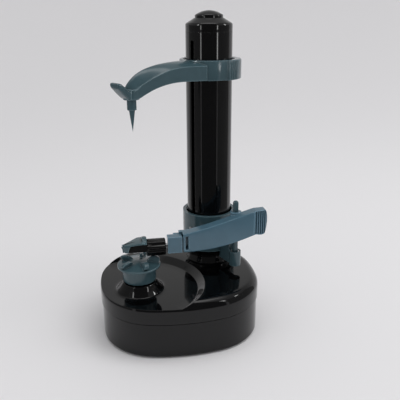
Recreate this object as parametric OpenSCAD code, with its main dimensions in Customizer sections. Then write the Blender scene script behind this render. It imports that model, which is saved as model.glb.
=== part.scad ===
// Electric potato peeler: a potato stands on a turning holder under a sprung
// centring spike, and a lead screw in the column lifts the blade arm past it.
// Origin: centre of the base on the table. +X right, +Y back, +Z up. Millimetres.

/* [Base] */
// Length of the base from side to side
base_l = 147; // [140:1:160]
// Depth of the base from front to back
base_w = 127; // [122:1:140]
// Radius of the four corners of the outline
corner_r = 53; // [50:0.5:55]
// How far the two ends bulge beyond the corner arcs
end_bulge = 0.5; // [0.3:0.1:1.5]
// How far the front and back bulge beyond the corner arcs
side_bulge = 2; // [1:0.5:3]
// Wall of both shells
wall = 2.5; // [2:0.1:3.5]
// Thickness of the lower shell's floor
floor_t = 2.5; // [2.3:0.1:3]
// Height of the seam between the shells above the table
seam_z = 33; // [31:0.5:36]
// Height of the deck above the table
deck_z = 53; // [52.5:0.5:58]
// Radius of the deck's outer edge
edge_r = 8; // [3:0.5:9]
// Step by which the lower shell is smaller than the upper one
seam_step = 0.9; // [0.2:0.1:1.2]
// Radius of the round recess in the deck
recess_r = 61.5; // [56:0.5:64]
// Centre of the recess, to the right of the origin
recess_x = -44; // [-46:0.5:-42]
// Centre of the recess, behind the origin
recess_y = -19; // [-21:0.5:-17]
// Depth of the round recess
recess_depth = 5; // [3:0.5:5]
// Diameter of the rubber feet
foot_d = 12; // [8:0.5:16]
// How far the feet stand out below the shell
foot_h = 1; // [0.6:0.1:2]

/* [Food holder] */
// Holder axis, to the right of the origin
spindle_x = -38; // [-40:0.5:-36]
// Holder axis, behind the origin
spindle_y = -18; // [-20:0.5:-16]
// Height of the pedestal above the recess floor
pedestal_h = 8.5; // [6:0.5:11]
// Bottom radius of the pedestal
pedestal_r = 20; // [17:0.5:24]
// Top radius of the pedestal
pedestal_top_r = 15; // [12:0.5:17]
// Radius of the holder's cup
cup_r = 15; // [12:0.5:17]
// Height of the holder's cup
cup_h = 13.6; // [10:0.1:16]
// Radius of the holder's rim
rim_r = 19.2; // [16:0.1:22]
// Number of teeth on the holder
teeth = 5; // [3:1:6]
// Thickness of each tooth
tooth_t = 2.4; // [1.5:0.1:3]
// Height of the teeth above the rim
tooth_h = 7.7; // [5:0.1:7.8]
// Radius of the spindle
spindle_r = 4; // [3.6:0.1:5]

/* [Column] */
// Column axis, to the right of the origin
tower_x = 35.5; // [34:0.5:37]
// Column axis, behind the origin
tower_y = 33.5; // [32:0.5:35]
// Outer radius of the column
tower_r = 21; // [20:0.1:21.2]
// Wall of the column
tower_wall = 2.5; // [2:0.1:3]
// Height of the column's top edge above the table
tower_top = 268.2; // [262:0.1:290]
// Width of the slot
slot_w = 4; // [3.6:0.1:6]
// Height of the foot flare above the deck
flare_h = 7; // [4:0.5:10]
// How far the flare spreads at the deck
flare_w = 2.2; // [1:0.1:2.3]
// Height of the straight side of the cap
cap_side_h = 6.4; // [5:0.1:10]
// Height of the cap's cone
cap_cone_h = 5.3; // [4:0.1:8]
// Radius of the power button
button_r = 12.6; // [9:0.1:13]
// Travel of the power button
button_travel = 1.5; // [0.8:0.1:1.8]

/* [Lift] */
// Lead of the screw, one turn
lead = 5; // [4:0.5:6]
// Major radius of the thread
thread_r = 5; // [4.6:0.1:5.2]
// Root radius of the thread
root_r = 3.6; // [3.4:0.1:3.8]
// Lift of the carriage
lift = 90; // [60:1:92]
// Height of the carriage collar's lower edge
collar_z = 66; // [65:0.5:70]
// Height of the carriage collar
collar_h = 36; // [30:0.5:40]
// Inner radius of the carriage collar
collar_in_r = 22.5; // [22.3:0.1:23]
// Wall of the carriage collar
collar_wall = 3; // [2.5:0.1:3.5]
// Height of the follower nut
nut_h = 14; // [10:0.5:18]
// Outer radius of the follower nut
nut_r = 10.5; // [8:0.1:12]

/* [Gears] */
// Module of the last gear stage
last_module = 1; // [1:0.01:1]
// Module of the middle gear stage
mid_module = 0.8; // [0.75:0.01:0.85]
// Module of the first gear stage
first_module = 0.6; // [0.55:0.01:0.62]
// Teeth of the spindle gear and of the screw gear
output_teeth = 37; // [37:1:38]
// Teeth of the drive gear
drive_teeth = 54; // [53:1:56]
// Teeth of the two small pinions
pinion_teeth = 12; // [12:1:14]
// Teeth of the second gear's wheel
second_teeth = 48; // [44:1:50]
// Teeth of the first gear's wheel
first_teeth = 50; // [46:1:52]
// Teeth of the motor pinion
motor_teeth = 10; // [10:1:11]
// Play between two gears' flanks
backlash = 0.3; // [0.2:0.05:0.4]

/* [Peeling arm] */
// Hinge axis, to the right of the origin
hinge_x = 52; // [50:0.5:54]
// Hinge axis, behind the origin
hinge_y = -9.7; // [-11:0.1:-8.5]
// Radius of the hinge pin
pin_r = 2.6; // [2:0.1:3]
// Radius of the hinge barrels
barrel_r = 5.4; // [4.6:0.1:6]
// Front face of the arm, behind the origin
arm_front_y = -22.5; // [-24:0.1:-21.5]
// Thickness of the arm
arm_t = 11; // [9.5:0.1:12]
// Height of the blade cartridge's axis
head_z = 87; // [86.9:0.1:88]
// Radius of the cartridge grip
grip_r = 7.8; // [7:0.1:7.9]
// Length of the cartridge grip
grip_l = 16.8; // [14:0.1:17.5]

/* [Top arm] */
// Height of the top collar's lower edge
top_z = 228; // [222:0.5:232]
// Height of the top collar
top_h = 17.2; // [14:0.1:20]
// Inner radius of the top collar
top_in_r = 23.2; // [22.5:0.1:24]
// Outer radius of the collar's front
top_front_r = 26.6; // [25.8:0.1:27.5]
// Outer radius of the thick band behind
top_band_r = 29.2; // [28.5:0.1:31]
// Half the angle of the thick band
band_half = 100; // [90:1:110]
// Overall length of the centring spike and its hub
spike_l = 27.1; // [22:0.1:32]
// Radius of the spike's hub
hub_r = 3.9; // [3.4:0.1:5]
// Radius of the spike's stem
stem_r = 2.5; // [2:0.1:2.8]

/* [Batteries] */
// Diameter of a battery
battery_d = 14.5; // [14:0.1:14.6]
// Length of a battery
battery_l = 50.5; // [48:0.5:51]
// Wall of the battery tray
tray_wall = 1.5; // [1:0.1:2]

/* [Fits] */
// Radial play of a shaft that turns in its bore
run_gap = 0.05; // [0.02:0.01:0.08]
// Gap between parts that move past each other
move_gap = 0.3; // [0.2:0.05:0.4]
// Height between gears above each other
stage_gap = 1; // [0.6:0.1:1]

/* [Hidden] */

$fn = 96;
SMALL = 48;
EPS = 0.01;

BLACK = "#1d1d20";
TEAL = "#4e6a73";
STEEL = "#b9bcc0";
BRASS = "#b9924b";
NYLON = "#d8d5cb";
GREY = "#6d7073";

// Outline of the base: eight arcs that run into each other
corner_x = base_l / 2 - corner_r - end_bulge;
corner_y = base_w / 2 - corner_r - side_bulge;
end_r = corner_y ^ 2 / (2 * end_bulge) + end_bulge / 2 + corner_r;
side_r = corner_x ^ 2 / (2 * side_bulge) + side_bulge / 2 + corner_r;
end_c = base_l / 2 - end_r;
side_c = base_w / 2 - side_r;
end_v = 2 * [corner_x - end_c, corner_y];
side_v = 2 * [corner_x, corner_y - side_c];
ARCS = [ // centre, radius, and the directions of its two ends, as far as past the outline
    [[end_c, 0], end_r, [end_v[0], -end_v[1]], end_v],
    [[corner_x, corner_y], corner_r, end_v, side_v],
    [[0, side_c], side_r, side_v, [-side_v[0], side_v[1]]],
    [[-corner_x, corner_y], corner_r, [-side_v[0], side_v[1]], [-end_v[0], end_v[1]]],
    [[-end_c, 0], end_r, [-end_v[0], end_v[1]], -end_v],
    [[-corner_x, -corner_y], corner_r, -end_v, -side_v],
    [[0, -side_c], side_r, -side_v, [side_v[0], -side_v[1]]],
    [[corner_x, -corner_y], corner_r, [side_v[0], -side_v[1]], [end_v[0], -end_v[1]]]
];
ring_depth = corner_r + max(side_bulge, end_bulge) + 1;

// Heights inside the base
floor_z = foot_h + floor_t;
recess_z = deck_z - recess_depth;
deck_t = 2.6;
recess_t = 3;
ceiling_z = recess_z - recess_t;
stage_3_h = 4.5;
stage_2_h = 3.5;
stage_1_h = 3;
stage_3_z = ceiling_z - 2 - stage_3_h;
stage_2_z = stage_3_z - stage_gap - stage_2_h;
stage_1_z = stage_2_z - stage_gap - stage_1_h;
plate_t = 2;
plate_z = stage_1_z - 0.5 - plate_t;
plate_top = plate_z + plate_t;
lip_h = 3;
lip_t = 1.2;
lip_gap = 0.2;

// Column and its slot
reach = norm([spindle_x - tower_x, spindle_y - tower_y]);
arm_a = atan2(spindle_y - tower_y, spindle_x - tower_x) + 360;
tower_in_r = tower_r - tower_wall;
foot_top = deck_z + flare_h;
socket_z = ceiling_z + 3.5;
socket_floor_z = ceiling_z - 1.5;
spigot_r = tower_r - 1.5;
spigot_in_r = spigot_r - 3;
tube_floor_t = 3;
slot_z0 = foot_top + 4;
slot_z1 = tower_top - 6.6;
cap_top_r = button_r + 0.2;
cap_z = tower_top;
cap_shoulder_z = cap_z + cap_side_h;
cap_top_z = cap_shoulder_z + cap_cone_h;
web_t = 3;
web_z = cap_z - 6.2;
cap_spigot_r = tower_in_r - run_gap;
cap_in_r = 15;
lip_under_z = cap_top_z - 3.9;

// Lift
nut_z = collar_z + 11;
pin_z = nut_z + nut_h / 2;
thread_z0 = nut_z - 3;
thread_l = lift + nut_h + 3;
journal_r = root_r - 0.4;
thrust_r = 2;
screw_top_z = web_z + web_t - 0.4;
bush_r = 6;
nut_bore_r = thread_r + 0.4;
web_w = slot_w - 0.8;
collar_r = collar_in_r + collar_wall;
key_r = collar_in_r + 1.7;
pad_r = tower_r + move_gap;
pad_a = 26;
bracket_z = collar_z - 6;
bracket_h = 24;
bracket_t = 6;
sleeve_h = 14;
spring_pocket = 4;
arm_barrel_z = 86;
arm_barrel_h = 27;
pin_top_z = 123.3;

// Gear train
output_pitch_r = output_teeth * last_module / 2;
drive_pitch_r = drive_teeth * last_module / 2;
drive_d = output_pitch_r + drive_pitch_r;
drive_x = (spindle_x + tower_x) / 2 + cos(arm_a - 90) * sqrt(drive_d ^ 2 - reach ^ 2 / 4);
drive_y = (spindle_y + tower_y) / 2 + sin(arm_a - 90) * sqrt(drive_d ^ 2 - reach ^ 2 / 4);
second_a = 150;
second_d = (drive_teeth + pinion_teeth) * last_module / 2;
second_x = drive_x + second_d * cos(second_a);
second_y = drive_y + second_d * sin(second_a);
first_a = 225;
first_d = (second_teeth + pinion_teeth) * mid_module / 2;
first_x = second_x + first_d * cos(first_a);
first_y = second_y + first_d * sin(first_a);
motor_a = -100;
motor_d = (first_teeth + motor_teeth) * first_module / 2;
motor_x = first_x + motor_d * cos(motor_a);
motor_y = first_y + motor_d * sin(motor_a);
motor_r = 12;
motor_h = 22;
motor_shaft_r = 1;
motor_boss_r = 3;
axle_r = 2;
hub_wall = 2;
spindle_a = atan2(spindle_y - drive_y, spindle_x - drive_x);
screw_a = atan2(tower_y - drive_y, tower_x - drive_x);
pressure_angle = 20;
addendum = 0.95;
dedendum = 1.25;
journal_spindle_r = spindle_r - 1;

// Food holder
pedestal_z = recess_z + pedestal_h;
pedestal_slope = (pedestal_r - pedestal_top_r) / pedestal_h;
holder_z = pedestal_z + 0.9;
rim_z = holder_z + cup_h;
rim_t = 1.6;
hex_z = holder_z + 2;
hex_h = 8;

// Blade cartridge
head_y = arm_front_y + arm_t / 2;
grip_x1 = -13.8;
grip_x0 = grip_x1 - grip_l;
head_pin_r = 2.5;
socket_x0 = grip_x1 + 1.8;
socket_x1 = 0.8;
socket_pin_l = 9;
guard_x0 = -51.5;
guard_wall = 1.6;
guard_half = 8;
guard_top_z = head_z + 7.5;
guard_bottom_z = head_z - 0.6;
guard_window_x = -43.3;
guard_ridge_r = 10.2;
guard_ridge_l = 4;
core_x0 = -45;
core_half = guard_half - guard_wall - 0.1;
core_z = head_z - 1.4;

// Top arm
boss_r = 6.8;
hub_top_z = top_z - 9.7;
boss_top_z = top_z - 1.5;
clip_t = 1.2;
clip_r = 3.4;
clip_pocket = 3;
tab_w = 11;
band_a = arm_a - 180;
release_w = 12;
release_h = 8;
flange_w = 15;
flange_h = 11;
release_z = top_z + top_h / 2;
leaf_t = 0.4;
leaf_r = top_in_r + 1.2;
leaf_h = 5;
leaf_a = 24;
pocket_r = leaf_r + 2;

// Batteries
tray_l = battery_l + 6 + 2 * tray_wall;
tray_w = 2 * battery_d + 2 + 2 * tray_wall;
tray_x = -22;
tray_y = -54;
tray_h = 2 * battery_d + 2 + tray_wall;
door_slide = 6;
door_t = 1.5;
door_lap = 2;
door_grow = door_lap - tray_wall;

// Screws
screw_r = 1.5;
screw_head_r = 2.8;
screw_head_h = 2;
boss_wall = 2.5;
base_boss_r = screw_r + boss_wall;
base_head_z = seam_z - 11;
BASE_SCREWS = [[-16, 50.5], [-42, -45], [56, -26], [62, 14]];
PLATE_SCREWS = [[-44, 33], [-6, 44], [42, 28], [-30, -22]];
FEET = [[-46, 34], [46, 34], [-46, -34], [46, -34]];
tower_screw_d = 12;
TOWER_SCREW_A = [arm_a, arm_a + 120, arm_a + 240];
PLATE = [
    [-48, -26], [-28, -26], [-22, -14], [46, 24], [46, 42],
    [30, 46], [-4, 48], [-50, 36], [-66, 14], [-64, -2]
];
jack_x = 2;
jack_z = 18;
jack_r = 2.8;
jack_body_r = 4.5;
jack_l = 12;
jack_pin_r = 0.65;
jack_y = base_w / 2;

// Wiring inside
wire_r = 0.9;
wire_a = arm_a + 90;
wire_d = 13.4;
switch_w = 16;
switch_h = 5.5;

function polar(r, a) = [r * cos(a), r * sin(a)];
function curve(a, b, c, d, n = 12) = [
    for (i = [0:n]) let (t = i / n, s = 1 - t)
        a * s ^ 3 + 3 * b * s ^ 2 * t + 3 * c * s * t ^ 2 + d * t ^ 3
];

module at_spindle(z = 0) translate([spindle_x, spindle_y, z]) children();
module at_tower(z = 0) translate([tower_x, tower_y, z]) children();
module at_recess(z = 0) translate([recess_x, recess_y, z]) children();
module at_hinge(z = 0) translate([hinge_x, hinge_y, z]) children();

module ring(r_out, r_in, h) {
    difference() {
        cylinder(r = r_out, h = h);
        translate([0, 0, -EPS]) cylinder(r = r_in, h = h + 2 * EPS);
    }
}

// A ring's stretch around the middle angle a
module ring_sector(r_out, r_in, h, a, half) {
    rotate(a - half) rotate_extrude(angle = 2 * half)
        translate([r_in, 0]) square([r_out - r_in, h]);
}

// Carries a profile, with x = 0 on the outline, once around the base
module around_base() {
    for (arc = ARCS)
        translate(arc[0]) intersection() {
            rotate_extrude($fn = 180) intersection() {
                translate([arc[1], 0]) children();
                square([arc[1] + 1, deck_z + 1]);
            }
            linear_extrude(deck_z + 1) polygon([[0, 0], arc[2], arc[3]]);
        }
}

// Quarter round of radius r that ends a profile at its outer corner, from angle a0 to a0 + 90
function round_edge(x, z, r, a0, n = 6) = [for (i = [0:n]) [x - r, z] + polar(r, a0 + 90 * i / n)];

module base_form(grow, z0, z1, top_r = 0, bottom_r = 0) {
    around_base() polygon(concat(
        [[-ring_depth, z0]],
        bottom_r > 0 ? round_edge(grow, z0 + bottom_r, bottom_r, -90) : [[grow, z0]],
        top_r > 0 ? round_edge(grow, z1 - top_r, top_r, 0) : [[grow, z1]],
        [[-ring_depth, z1]]
    ));
    translate([-corner_x, -corner_y, z0]) cube([2 * corner_x, 2 * corner_y, z1 - z0]);
}

// Angle from the middle of a tooth to its flank at radius r
function involute(r, rb) = r <= rb ? 0 : let (a = acos(rb / r)) tan(a) * 180 / PI - a;
function tooth_half(r, n, m) =
    let (rp = n * m / 2, rb = rp * cos(pressure_angle))
    90 / n - backlash / 4 / rp * 180 / PI + involute(rp, rb) - involute(r, rb);
function gear_outline(n, m) =
    let (
        rp = n * m / 2, ra = rp + addendum * m, rr = rp - dedendum * m,
        rf = max(rp * cos(pressure_angle), rr + 0.1 * m),
        side = rf - rr < 0.15 * m ? [[rr, rf], [rp, rp], [ra, ra]] : [[rr, rf], [rf, rf], [rp, rp], [ra, ra]],
        last = len(side) - 1
    )
    [
        for (k = [0:n - 1])
            each [
                for (s = side) polar(s[0], 360 * k / n - tooth_half(s[1], n, m)),
                for (i = [last:-1:0]) polar(side[i][0], 360 * k / n + tooth_half(side[i][1], n, m))
            ]
    ];
// Angle of gear n2 that meshes with gear n1 turned by a1, seen from n1 in the direction a
function meshed(n1, a1, n2, a) = a + 180 - 180 / n2 + (a - a1) * n1 / n2;
module gear(n, m, h, a) rotate(a) linear_extrude(h) polygon(gear_outline(n, m));

drive_turn = 0;
spindle_turn = meshed(drive_teeth, drive_turn, output_teeth, spindle_a);
screw_turn = meshed(drive_teeth, drive_turn, output_teeth, screw_a);
second_turn = meshed(drive_teeth, drive_turn, pinion_teeth, second_a);
first_turn = meshed(second_teeth, second_turn, pinion_teeth, first_a);
motor_turn = meshed(first_teeth, first_turn, motor_teeth, motor_a);

// A coil of square wire, wound upwards
module coil(mean_r, wire, h, turns, slices) {
    a = 360 * wire / (h / turns);
    steps = 4;
    outline = [
        for (i = [0:steps]) polar(mean_r + wire / 2, a * i / steps),
        for (i = [steps:-1:0]) polar(mean_r - wire / 2, a * i / steps)
    ];
    linear_extrude(height = h, twist = -360 * turns, slices = slices * turns, segments = 0)
        polygon(outline);
}

// A wire through a list of points
module wire_run(path) {
    for (i = [0:len(path) - 2]) hull() {
        translate(path[i]) sphere(r = wire_r, $fn = 10);
        translate(path[i + 1]) sphere(r = wire_r, $fn = 10);
    }
}

module base_lower_shell() {
    color(BLACK) difference() {
        union() {
            difference() {
                base_form(-seam_step, foot_h, seam_z, bottom_r = 2);
                base_form(-seam_step - wall, floor_z, seam_z + 1);
            }
            for (p = BASE_SCREWS)
                translate([p[0], p[1], floor_z - 1]) cylinder(r = base_boss_r, h = seam_z - floor_z + 1);
            for (p = PLATE_SCREWS)
                translate([p[0], p[1], floor_z - 1])
                    cylinder(r = screw_r + boss_wall - 0.5, h = plate_z - floor_z + 1, $fn = SMALL);
        }
        for (p = BASE_SCREWS) translate([p[0], p[1], 0]) {
            cylinder(r = screw_head_r + move_gap, h = base_head_z, $fn = SMALL);
            cylinder(r = screw_r + 0.1, h = seam_z + 1, $fn = SMALL);
        }
        for (p = PLATE_SCREWS)
            translate([p[0], p[1], plate_z - 8]) cylinder(r = screw_r, h = 9, $fn = SMALL);
        for (p = FEET)
            translate([p[0], p[1], 0]) cylinder(r = foot_d / 2, h = foot_h + 1, $fn = SMALL);
        door_form(move_gap, door_slide + move_gap, foot_h - 1, door_t + 1 + move_gap);
        translate([tray_x + tray_wall, tray_y + tray_wall, 0])
            cube([tray_l - 2 * tray_wall, tray_w - 2 * tray_wall, floor_z + 1]);
        translate([jack_x, jack_y + 1, jack_z]) rotate([90, 0, 0])
            cylinder(r = jack_body_r, h = jack_l, $fn = SMALL);
    }
}

// The battery door's plate, grown by side all round and by slide towards its opening end
module door_form(side, slide, z, h) {
    translate([tray_x - door_grow - side - slide + (slide > 0 ? side : 0), tray_y - door_grow - side, z])
        cube([tray_l + 2 * door_grow + slide + (slide > 0 ? side : 2 * side),
              tray_w + 2 * door_grow + 2 * side, h]);
}

module base_upper_shell() {
    color(BLACK) difference() {
        union() {
            difference() {
                base_form(0, seam_z, deck_z, top_r = edge_r);
                at_recess(recess_z) cylinder(r = recess_r, h = recess_depth + 1, $fn = 180);
                base_form(-wall, seam_z - 1, ceiling_z);
                difference() {
                    base_form(-wall - 3.5, ceiling_z - 1, deck_z - deck_t);
                    at_recess() cylinder(r = recess_r + wall, h = deck_z, $fn = 180);
                }
            }
            around_base() {
                translate([-wall - 1.8, seam_z]) square([2, lip_h]);
                translate([-seam_step - wall - lip_gap - lip_t, seam_z - lip_h])
                    square([lip_t, lip_h + 1]);
            }
            for (p = BASE_SCREWS)
                translate([p[0], p[1], seam_z])
                    cylinder(r = base_boss_r, h = boss_top_z(p) - seam_z, $fn = SMALL);
            at_tower() tower_foot();
            at_spindle(ceiling_z + 1) cylinder(r1 = pedestal_r + pedestal_slope * (recess_t - 1),
                                               r2 = pedestal_top_r, h = recess_t - 1 + pedestal_h);
        }
        at_spindle(ceiling_z - 1) cylinder(r = bush_r, h = pedestal_h + 10);
        at_tower(socket_z) cylinder(r = spigot_r + run_gap, h = foot_top);
        at_tower(socket_floor_z - 1) cylinder(r = bush_r + 1.5, h = 10);
        for (a = TOWER_SCREW_A) at_tower(socket_floor_z - 1) rotate(a) translate([tower_screw_d, 0, 0]) {
            cylinder(r = screw_head_r + move_gap, h = screw_head_h + 1 + 0.5, $fn = SMALL);
            cylinder(r = screw_r + 0.1, h = 10, $fn = SMALL);
        }
        at_tower(socket_floor_z - 1) rotate(wire_a)
            translate([wire_d - 1.2, -1.2, 0]) cube([tower_r + flare_w - wire_d - 0.5, 2.4, 6]);
        for (p = BASE_SCREWS)
            translate([p[0], p[1], seam_z - 1]) cylinder(r = screw_r, h = 10, $fn = SMALL);
    }
}

// A screw boss ends inside the recess's floor or inside the deck
function boss_top_z(p) =
    norm([p[0] - recess_x, p[1] - recess_y]) > recess_r + wall + base_boss_r
        ? deck_z - deck_t + 1 : ceiling_z + 1;

// Socket for the column, with a flare above the deck
module tower_foot() {
    rotate_extrude() polygon([
        [0, socket_floor_z], [spigot_r + 1, socket_floor_z], [spigot_r + 1, recess_z - 1.5],
        [tower_r + flare_w, recess_z - 1.5], [tower_r + flare_w, deck_z + 0.4],
        [tower_r + flare_w * 0.4, deck_z + flare_h * 0.4], [tower_r, foot_top], [0, foot_top]
    ]);
}

module battery_door() {
    color(BLACK) difference() {
        door_form(0, 0, foot_h, door_t);
        for (i = [0:3])
            translate([tray_x + 3 + 3 * i, tray_y + tray_w / 2 - 8, foot_h - 1]) cube([1.2, 16, 1.5]);
    }
}

module rubber_feet() {
    color(GREY) for (p = FEET)
        translate([p[0], p[1], 0]) cylinder(r = foot_d / 2, h = foot_h + 1, $fn = SMALL);
}

module screw(r, l, head_r, head_h) {
    difference() {
        union() {
            cylinder(r = head_r, h = head_h, $fn = SMALL);
            translate([0, 0, head_h - EPS]) cylinder(r = r, h = l + EPS, $fn = SMALL);
        }
        for (a = [0, 90])
            rotate(a) translate([-head_r * 0.6, -head_r * 0.12, -EPS])
                cube([head_r * 1.2, head_r * 0.24, head_h * 0.5]);
    }
}

module base_screws() {
    color(STEEL) for (p = BASE_SCREWS)
        translate([p[0], p[1], base_head_z - screw_head_h])
            screw(screw_r, seam_z + 8 - base_head_z, screw_head_r, screw_head_h);
}

module battery_tray() {
    color(GREY) difference() {
        translate([tray_x, tray_y, floor_z]) cube([tray_l, tray_w, tray_h]);
        translate([tray_x + tray_wall, tray_y + tray_wall, floor_z - 1])
            cube([tray_l - 2 * tray_wall, tray_w - 2 * tray_wall, tray_h - tray_wall + 1]);
    }
}

function battery_place(i) = [
    tray_x + tray_wall + 3,
    tray_y + tray_wall + 0.5 + battery_d / 2 + (i % 2) * (battery_d + 1),
    floor_z + 0.5 + battery_d / 2 + floor(i / 2) * (battery_d + 0.5)
];

module batteries() {
    color("#c8a24a") for (i = [0:3]) translate(battery_place(i)) rotate([0, 90, 0]) {
        cylinder(r = battery_d / 2, h = battery_l - 1, $fn = SMALL);
        cylinder(r = battery_d / 5, h = battery_l, $fn = SMALL);
    }
}

module battery_contacts() {
    plate_w = 0.6;
    color(STEEL) for (i = [0:3]) {
        p = battery_place(i);
        for (right = [0, 1]) {
            x = right == 1 ? p[0] + battery_l + 3 - plate_w : p[0] - 3;
            translate([x, p[1] - 5, p[2] - 5]) cube([plate_w, 10, 10]);
            translate([right == 1 ? p[0] + battery_l : x + plate_w, p[1], p[2]]) rotate([0, 90, 0])
                cylinder(r = 2.5, h = 3 - plate_w, $fn = SMALL);
        }
    }
}

module dc_jack() {
    color(GREY) translate([jack_x, jack_y - seam_step - 0.2, jack_z]) rotate([90, 0, 0]) {
        difference() {
            cylinder(r = jack_body_r, h = jack_l - 2, $fn = SMALL);
            translate([0, 0, -1]) cylinder(r = jack_r, h = jack_l - 2, $fn = SMALL);
        }
        translate([0, 0, 1]) cylinder(r = jack_pin_r, h = jack_l - 4, $fn = SMALL);
    }
}

module gear_plate() {
    color(GREY) difference() {
        translate([0, 0, plate_z]) linear_extrude(plate_t) polygon(PLATE);
        at_spindle(plate_z - 1) cylinder(r = journal_spindle_r + run_gap, h = plate_t + 2, $fn = SMALL);
        at_tower(plate_z - 1) cylinder(r = thrust_r + run_gap, h = plate_t + 2, $fn = SMALL);
        for (p = [[drive_x, drive_y], [second_x, second_y], [first_x, first_y]])
            translate([p[0], p[1], plate_z - 1]) cylinder(r = axle_r, h = plate_t + 2, $fn = SMALL);
        translate([motor_x, motor_y, plate_z - 1]) cylinder(r = motor_boss_r, h = plate_t + 2, $fn = SMALL);
        for (p = PLATE_SCREWS)
            translate([p[0], p[1], plate_z - 1]) cylinder(r = screw_r + 0.1, h = plate_t + 2, $fn = SMALL);
        for (s = [-90, 90])
            translate([motor_x, motor_y, plate_z - 1]) rotate(motor_a + s) translate([8, 0, 0])
                cylinder(r = 1.1, h = plate_t + 2, $fn = SMALL);
    }
}

module plate_screws() {
    color(STEEL) for (p = PLATE_SCREWS)
        translate([p[0], p[1], plate_top + 1.5]) mirror([0, 0, 1]) screw(screw_r, 8, screw_head_r, 1.5);
}

module motor() {
    color(STEEL) translate([motor_x, motor_y, 0]) difference() {
        union() {
            translate([0, 0, plate_z - motor_h]) cylinder(r = motor_r, h = motor_h);
            translate([0, 0, plate_z - EPS]) cylinder(r = motor_boss_r, h = plate_t + EPS, $fn = SMALL);
        }
        translate([0, 0, plate_z - 8])
            cylinder(r = motor_shaft_r + run_gap, h = 8 + plate_t + 1, $fn = SMALL);
        for (s = [-90, 90])
            translate([0, 0, plate_z - 3]) rotate(motor_a + s) translate([8, 0, 0])
                cylinder(r = 1, h = 4, $fn = SMALL);
    }
}

module motor_screws() {
    color(STEEL) for (s = [-90, 90])
        translate([motor_x, motor_y, plate_top + 1.2]) rotate(motor_a + s) translate([8, 0, 0])
            mirror([0, 0, 1]) screw(1, plate_t + 2.5, 1.8, 1.2);
}

module motor_pinion() {
    color(BRASS) translate([motor_x, motor_y, 0]) {
        translate([0, 0, stage_1_z]) gear(motor_teeth, first_module, stage_1_h, motor_turn);
        translate([0, 0, plate_z - 7.5])
            cylinder(r = motor_shaft_r, h = stage_1_z - plate_z + 8, $fn = SMALL);
    }
}

// A wheel and a pinion on one hub, turning on an axle
module double_gear(x, y, wheel, pinion, bore, hub_z0, hub_z1, hub_r) {
    translate([x, y, 0]) difference() {
        union() {
            translate([0, 0, wheel[3]]) gear(wheel[0], wheel[1], wheel[2], wheel[4]);
            translate([0, 0, pinion[3]]) gear(pinion[0], pinion[1], pinion[2], pinion[4]);
            translate([0, 0, hub_z0]) cylinder(r = hub_r, h = hub_z1 - hub_z0, $fn = SMALL);
        }
        translate([0, 0, hub_z0 - 1]) cylinder(r = bore, h = hub_z1 - hub_z0 + 6, $fn = SMALL);
    }
}

module first_gear() {
    color(NYLON) double_gear(
        first_x, first_y,
        [first_teeth, first_module, stage_1_h, stage_1_z, first_turn],
        [pinion_teeth, mid_module, stage_2_h, stage_2_z, first_turn],
        axle_r + run_gap, plate_top + 0.2, stage_2_z + EPS, axle_r + 1.6
    );
}

module second_gear() {
    color(NYLON) double_gear(
        second_x, second_y,
        [second_teeth, mid_module, stage_2_h, stage_2_z, second_turn],
        [pinion_teeth, last_module, stage_3_h, stage_3_z, second_turn],
        axle_r + run_gap, plate_top + 0.2, stage_3_z + EPS, axle_r + hub_wall
    );
}

module drive_gear() {
    color(NYLON) translate([drive_x, drive_y, 0]) difference() {
        union() {
            translate([0, 0, stage_3_z]) gear(drive_teeth, last_module, stage_3_h, drive_turn);
            translate([0, 0, plate_top + 0.2])
                cylinder(r = axle_r + hub_wall, h = stage_3_z - plate_top, $fn = SMALL);
        }
        translate([0, 0, plate_top - 1]) cylinder(r = axle_r + run_gap, h = 20, $fn = SMALL);
    }
}

module gear_axles() {
    color(STEEL) {
        for (p = [[drive_x, drive_y], [second_x, second_y]])
            translate([p[0], p[1], plate_z]) cylinder(r = axle_r, h = ceiling_z - 0.5 - plate_z, $fn = SMALL);
        translate([first_x, first_y, plate_z])
            cylinder(r = axle_r, h = stage_2_z + stage_2_h - plate_z, $fn = SMALL);
    }
}

// An output gear with its hub below
module output_gear(turn, bore) {
    difference() {
        union() {
            translate([0, 0, stage_3_z]) gear(output_teeth, last_module, stage_3_h, turn);
            translate([0, 0, stage_2_z]) cylinder(r = bore + hub_wall, h = stage_3_z - stage_2_z + EPS);
        }
        translate([0, 0, stage_2_z - 1]) cylinder(r = bore, h = 20);
    }
}

module spindle_gear() {
    color(NYLON) at_spindle() output_gear(spindle_turn, spindle_r);
}

module spindle_shaft() {
    color(STEEL) at_spindle() {
        translate([0, 0, plate_z + 0.1]) cylinder(r = journal_spindle_r, h = plate_t + 1, $fn = SMALL);
        translate([0, 0, plate_top + 0.3]) cylinder(r = spindle_r, h = hex_z - plate_top - 0.3);
        translate([0, 0, hex_z - EPS]) cylinder(r = spindle_r, h = hex_h, $fn = 6);
    }
}

module spindle_bush() {
    color(BRASS) at_spindle(ceiling_z) ring(bush_r, spindle_r + run_gap, pedestal_z - ceiling_z);
}

module food_holder() {
    color(TEAL) at_spindle() {
        difference() {
            union() {
                translate([0, 0, holder_z]) rotate_extrude() polygon([
                    [0, 0], [cup_r - 1.5, 0], [cup_r - 0.4, 0.5], [cup_r, 1.6], [cup_r, cup_h - 1],
                    [cup_r + 1, cup_h - 0.2], [rim_r - 0.6, cup_h], [rim_r, cup_h + 0.5],
                    [rim_r, cup_h + rim_t - 0.5], [rim_r - 0.7, cup_h + rim_t], [0, cup_h + rim_t + 1.2]
                ]);
                for (i = [0:teeth - 1]) rotate(360 / teeth * i - 3) tooth();
            }
            translate([0, 0, holder_z - 1]) cylinder(r = spindle_r + run_gap, h = hex_z - holder_z + 1);
            translate([0, 0, hex_z - EPS]) cylinder(r = spindle_r, h = hex_h, $fn = 6);
        }
    }
}

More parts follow.
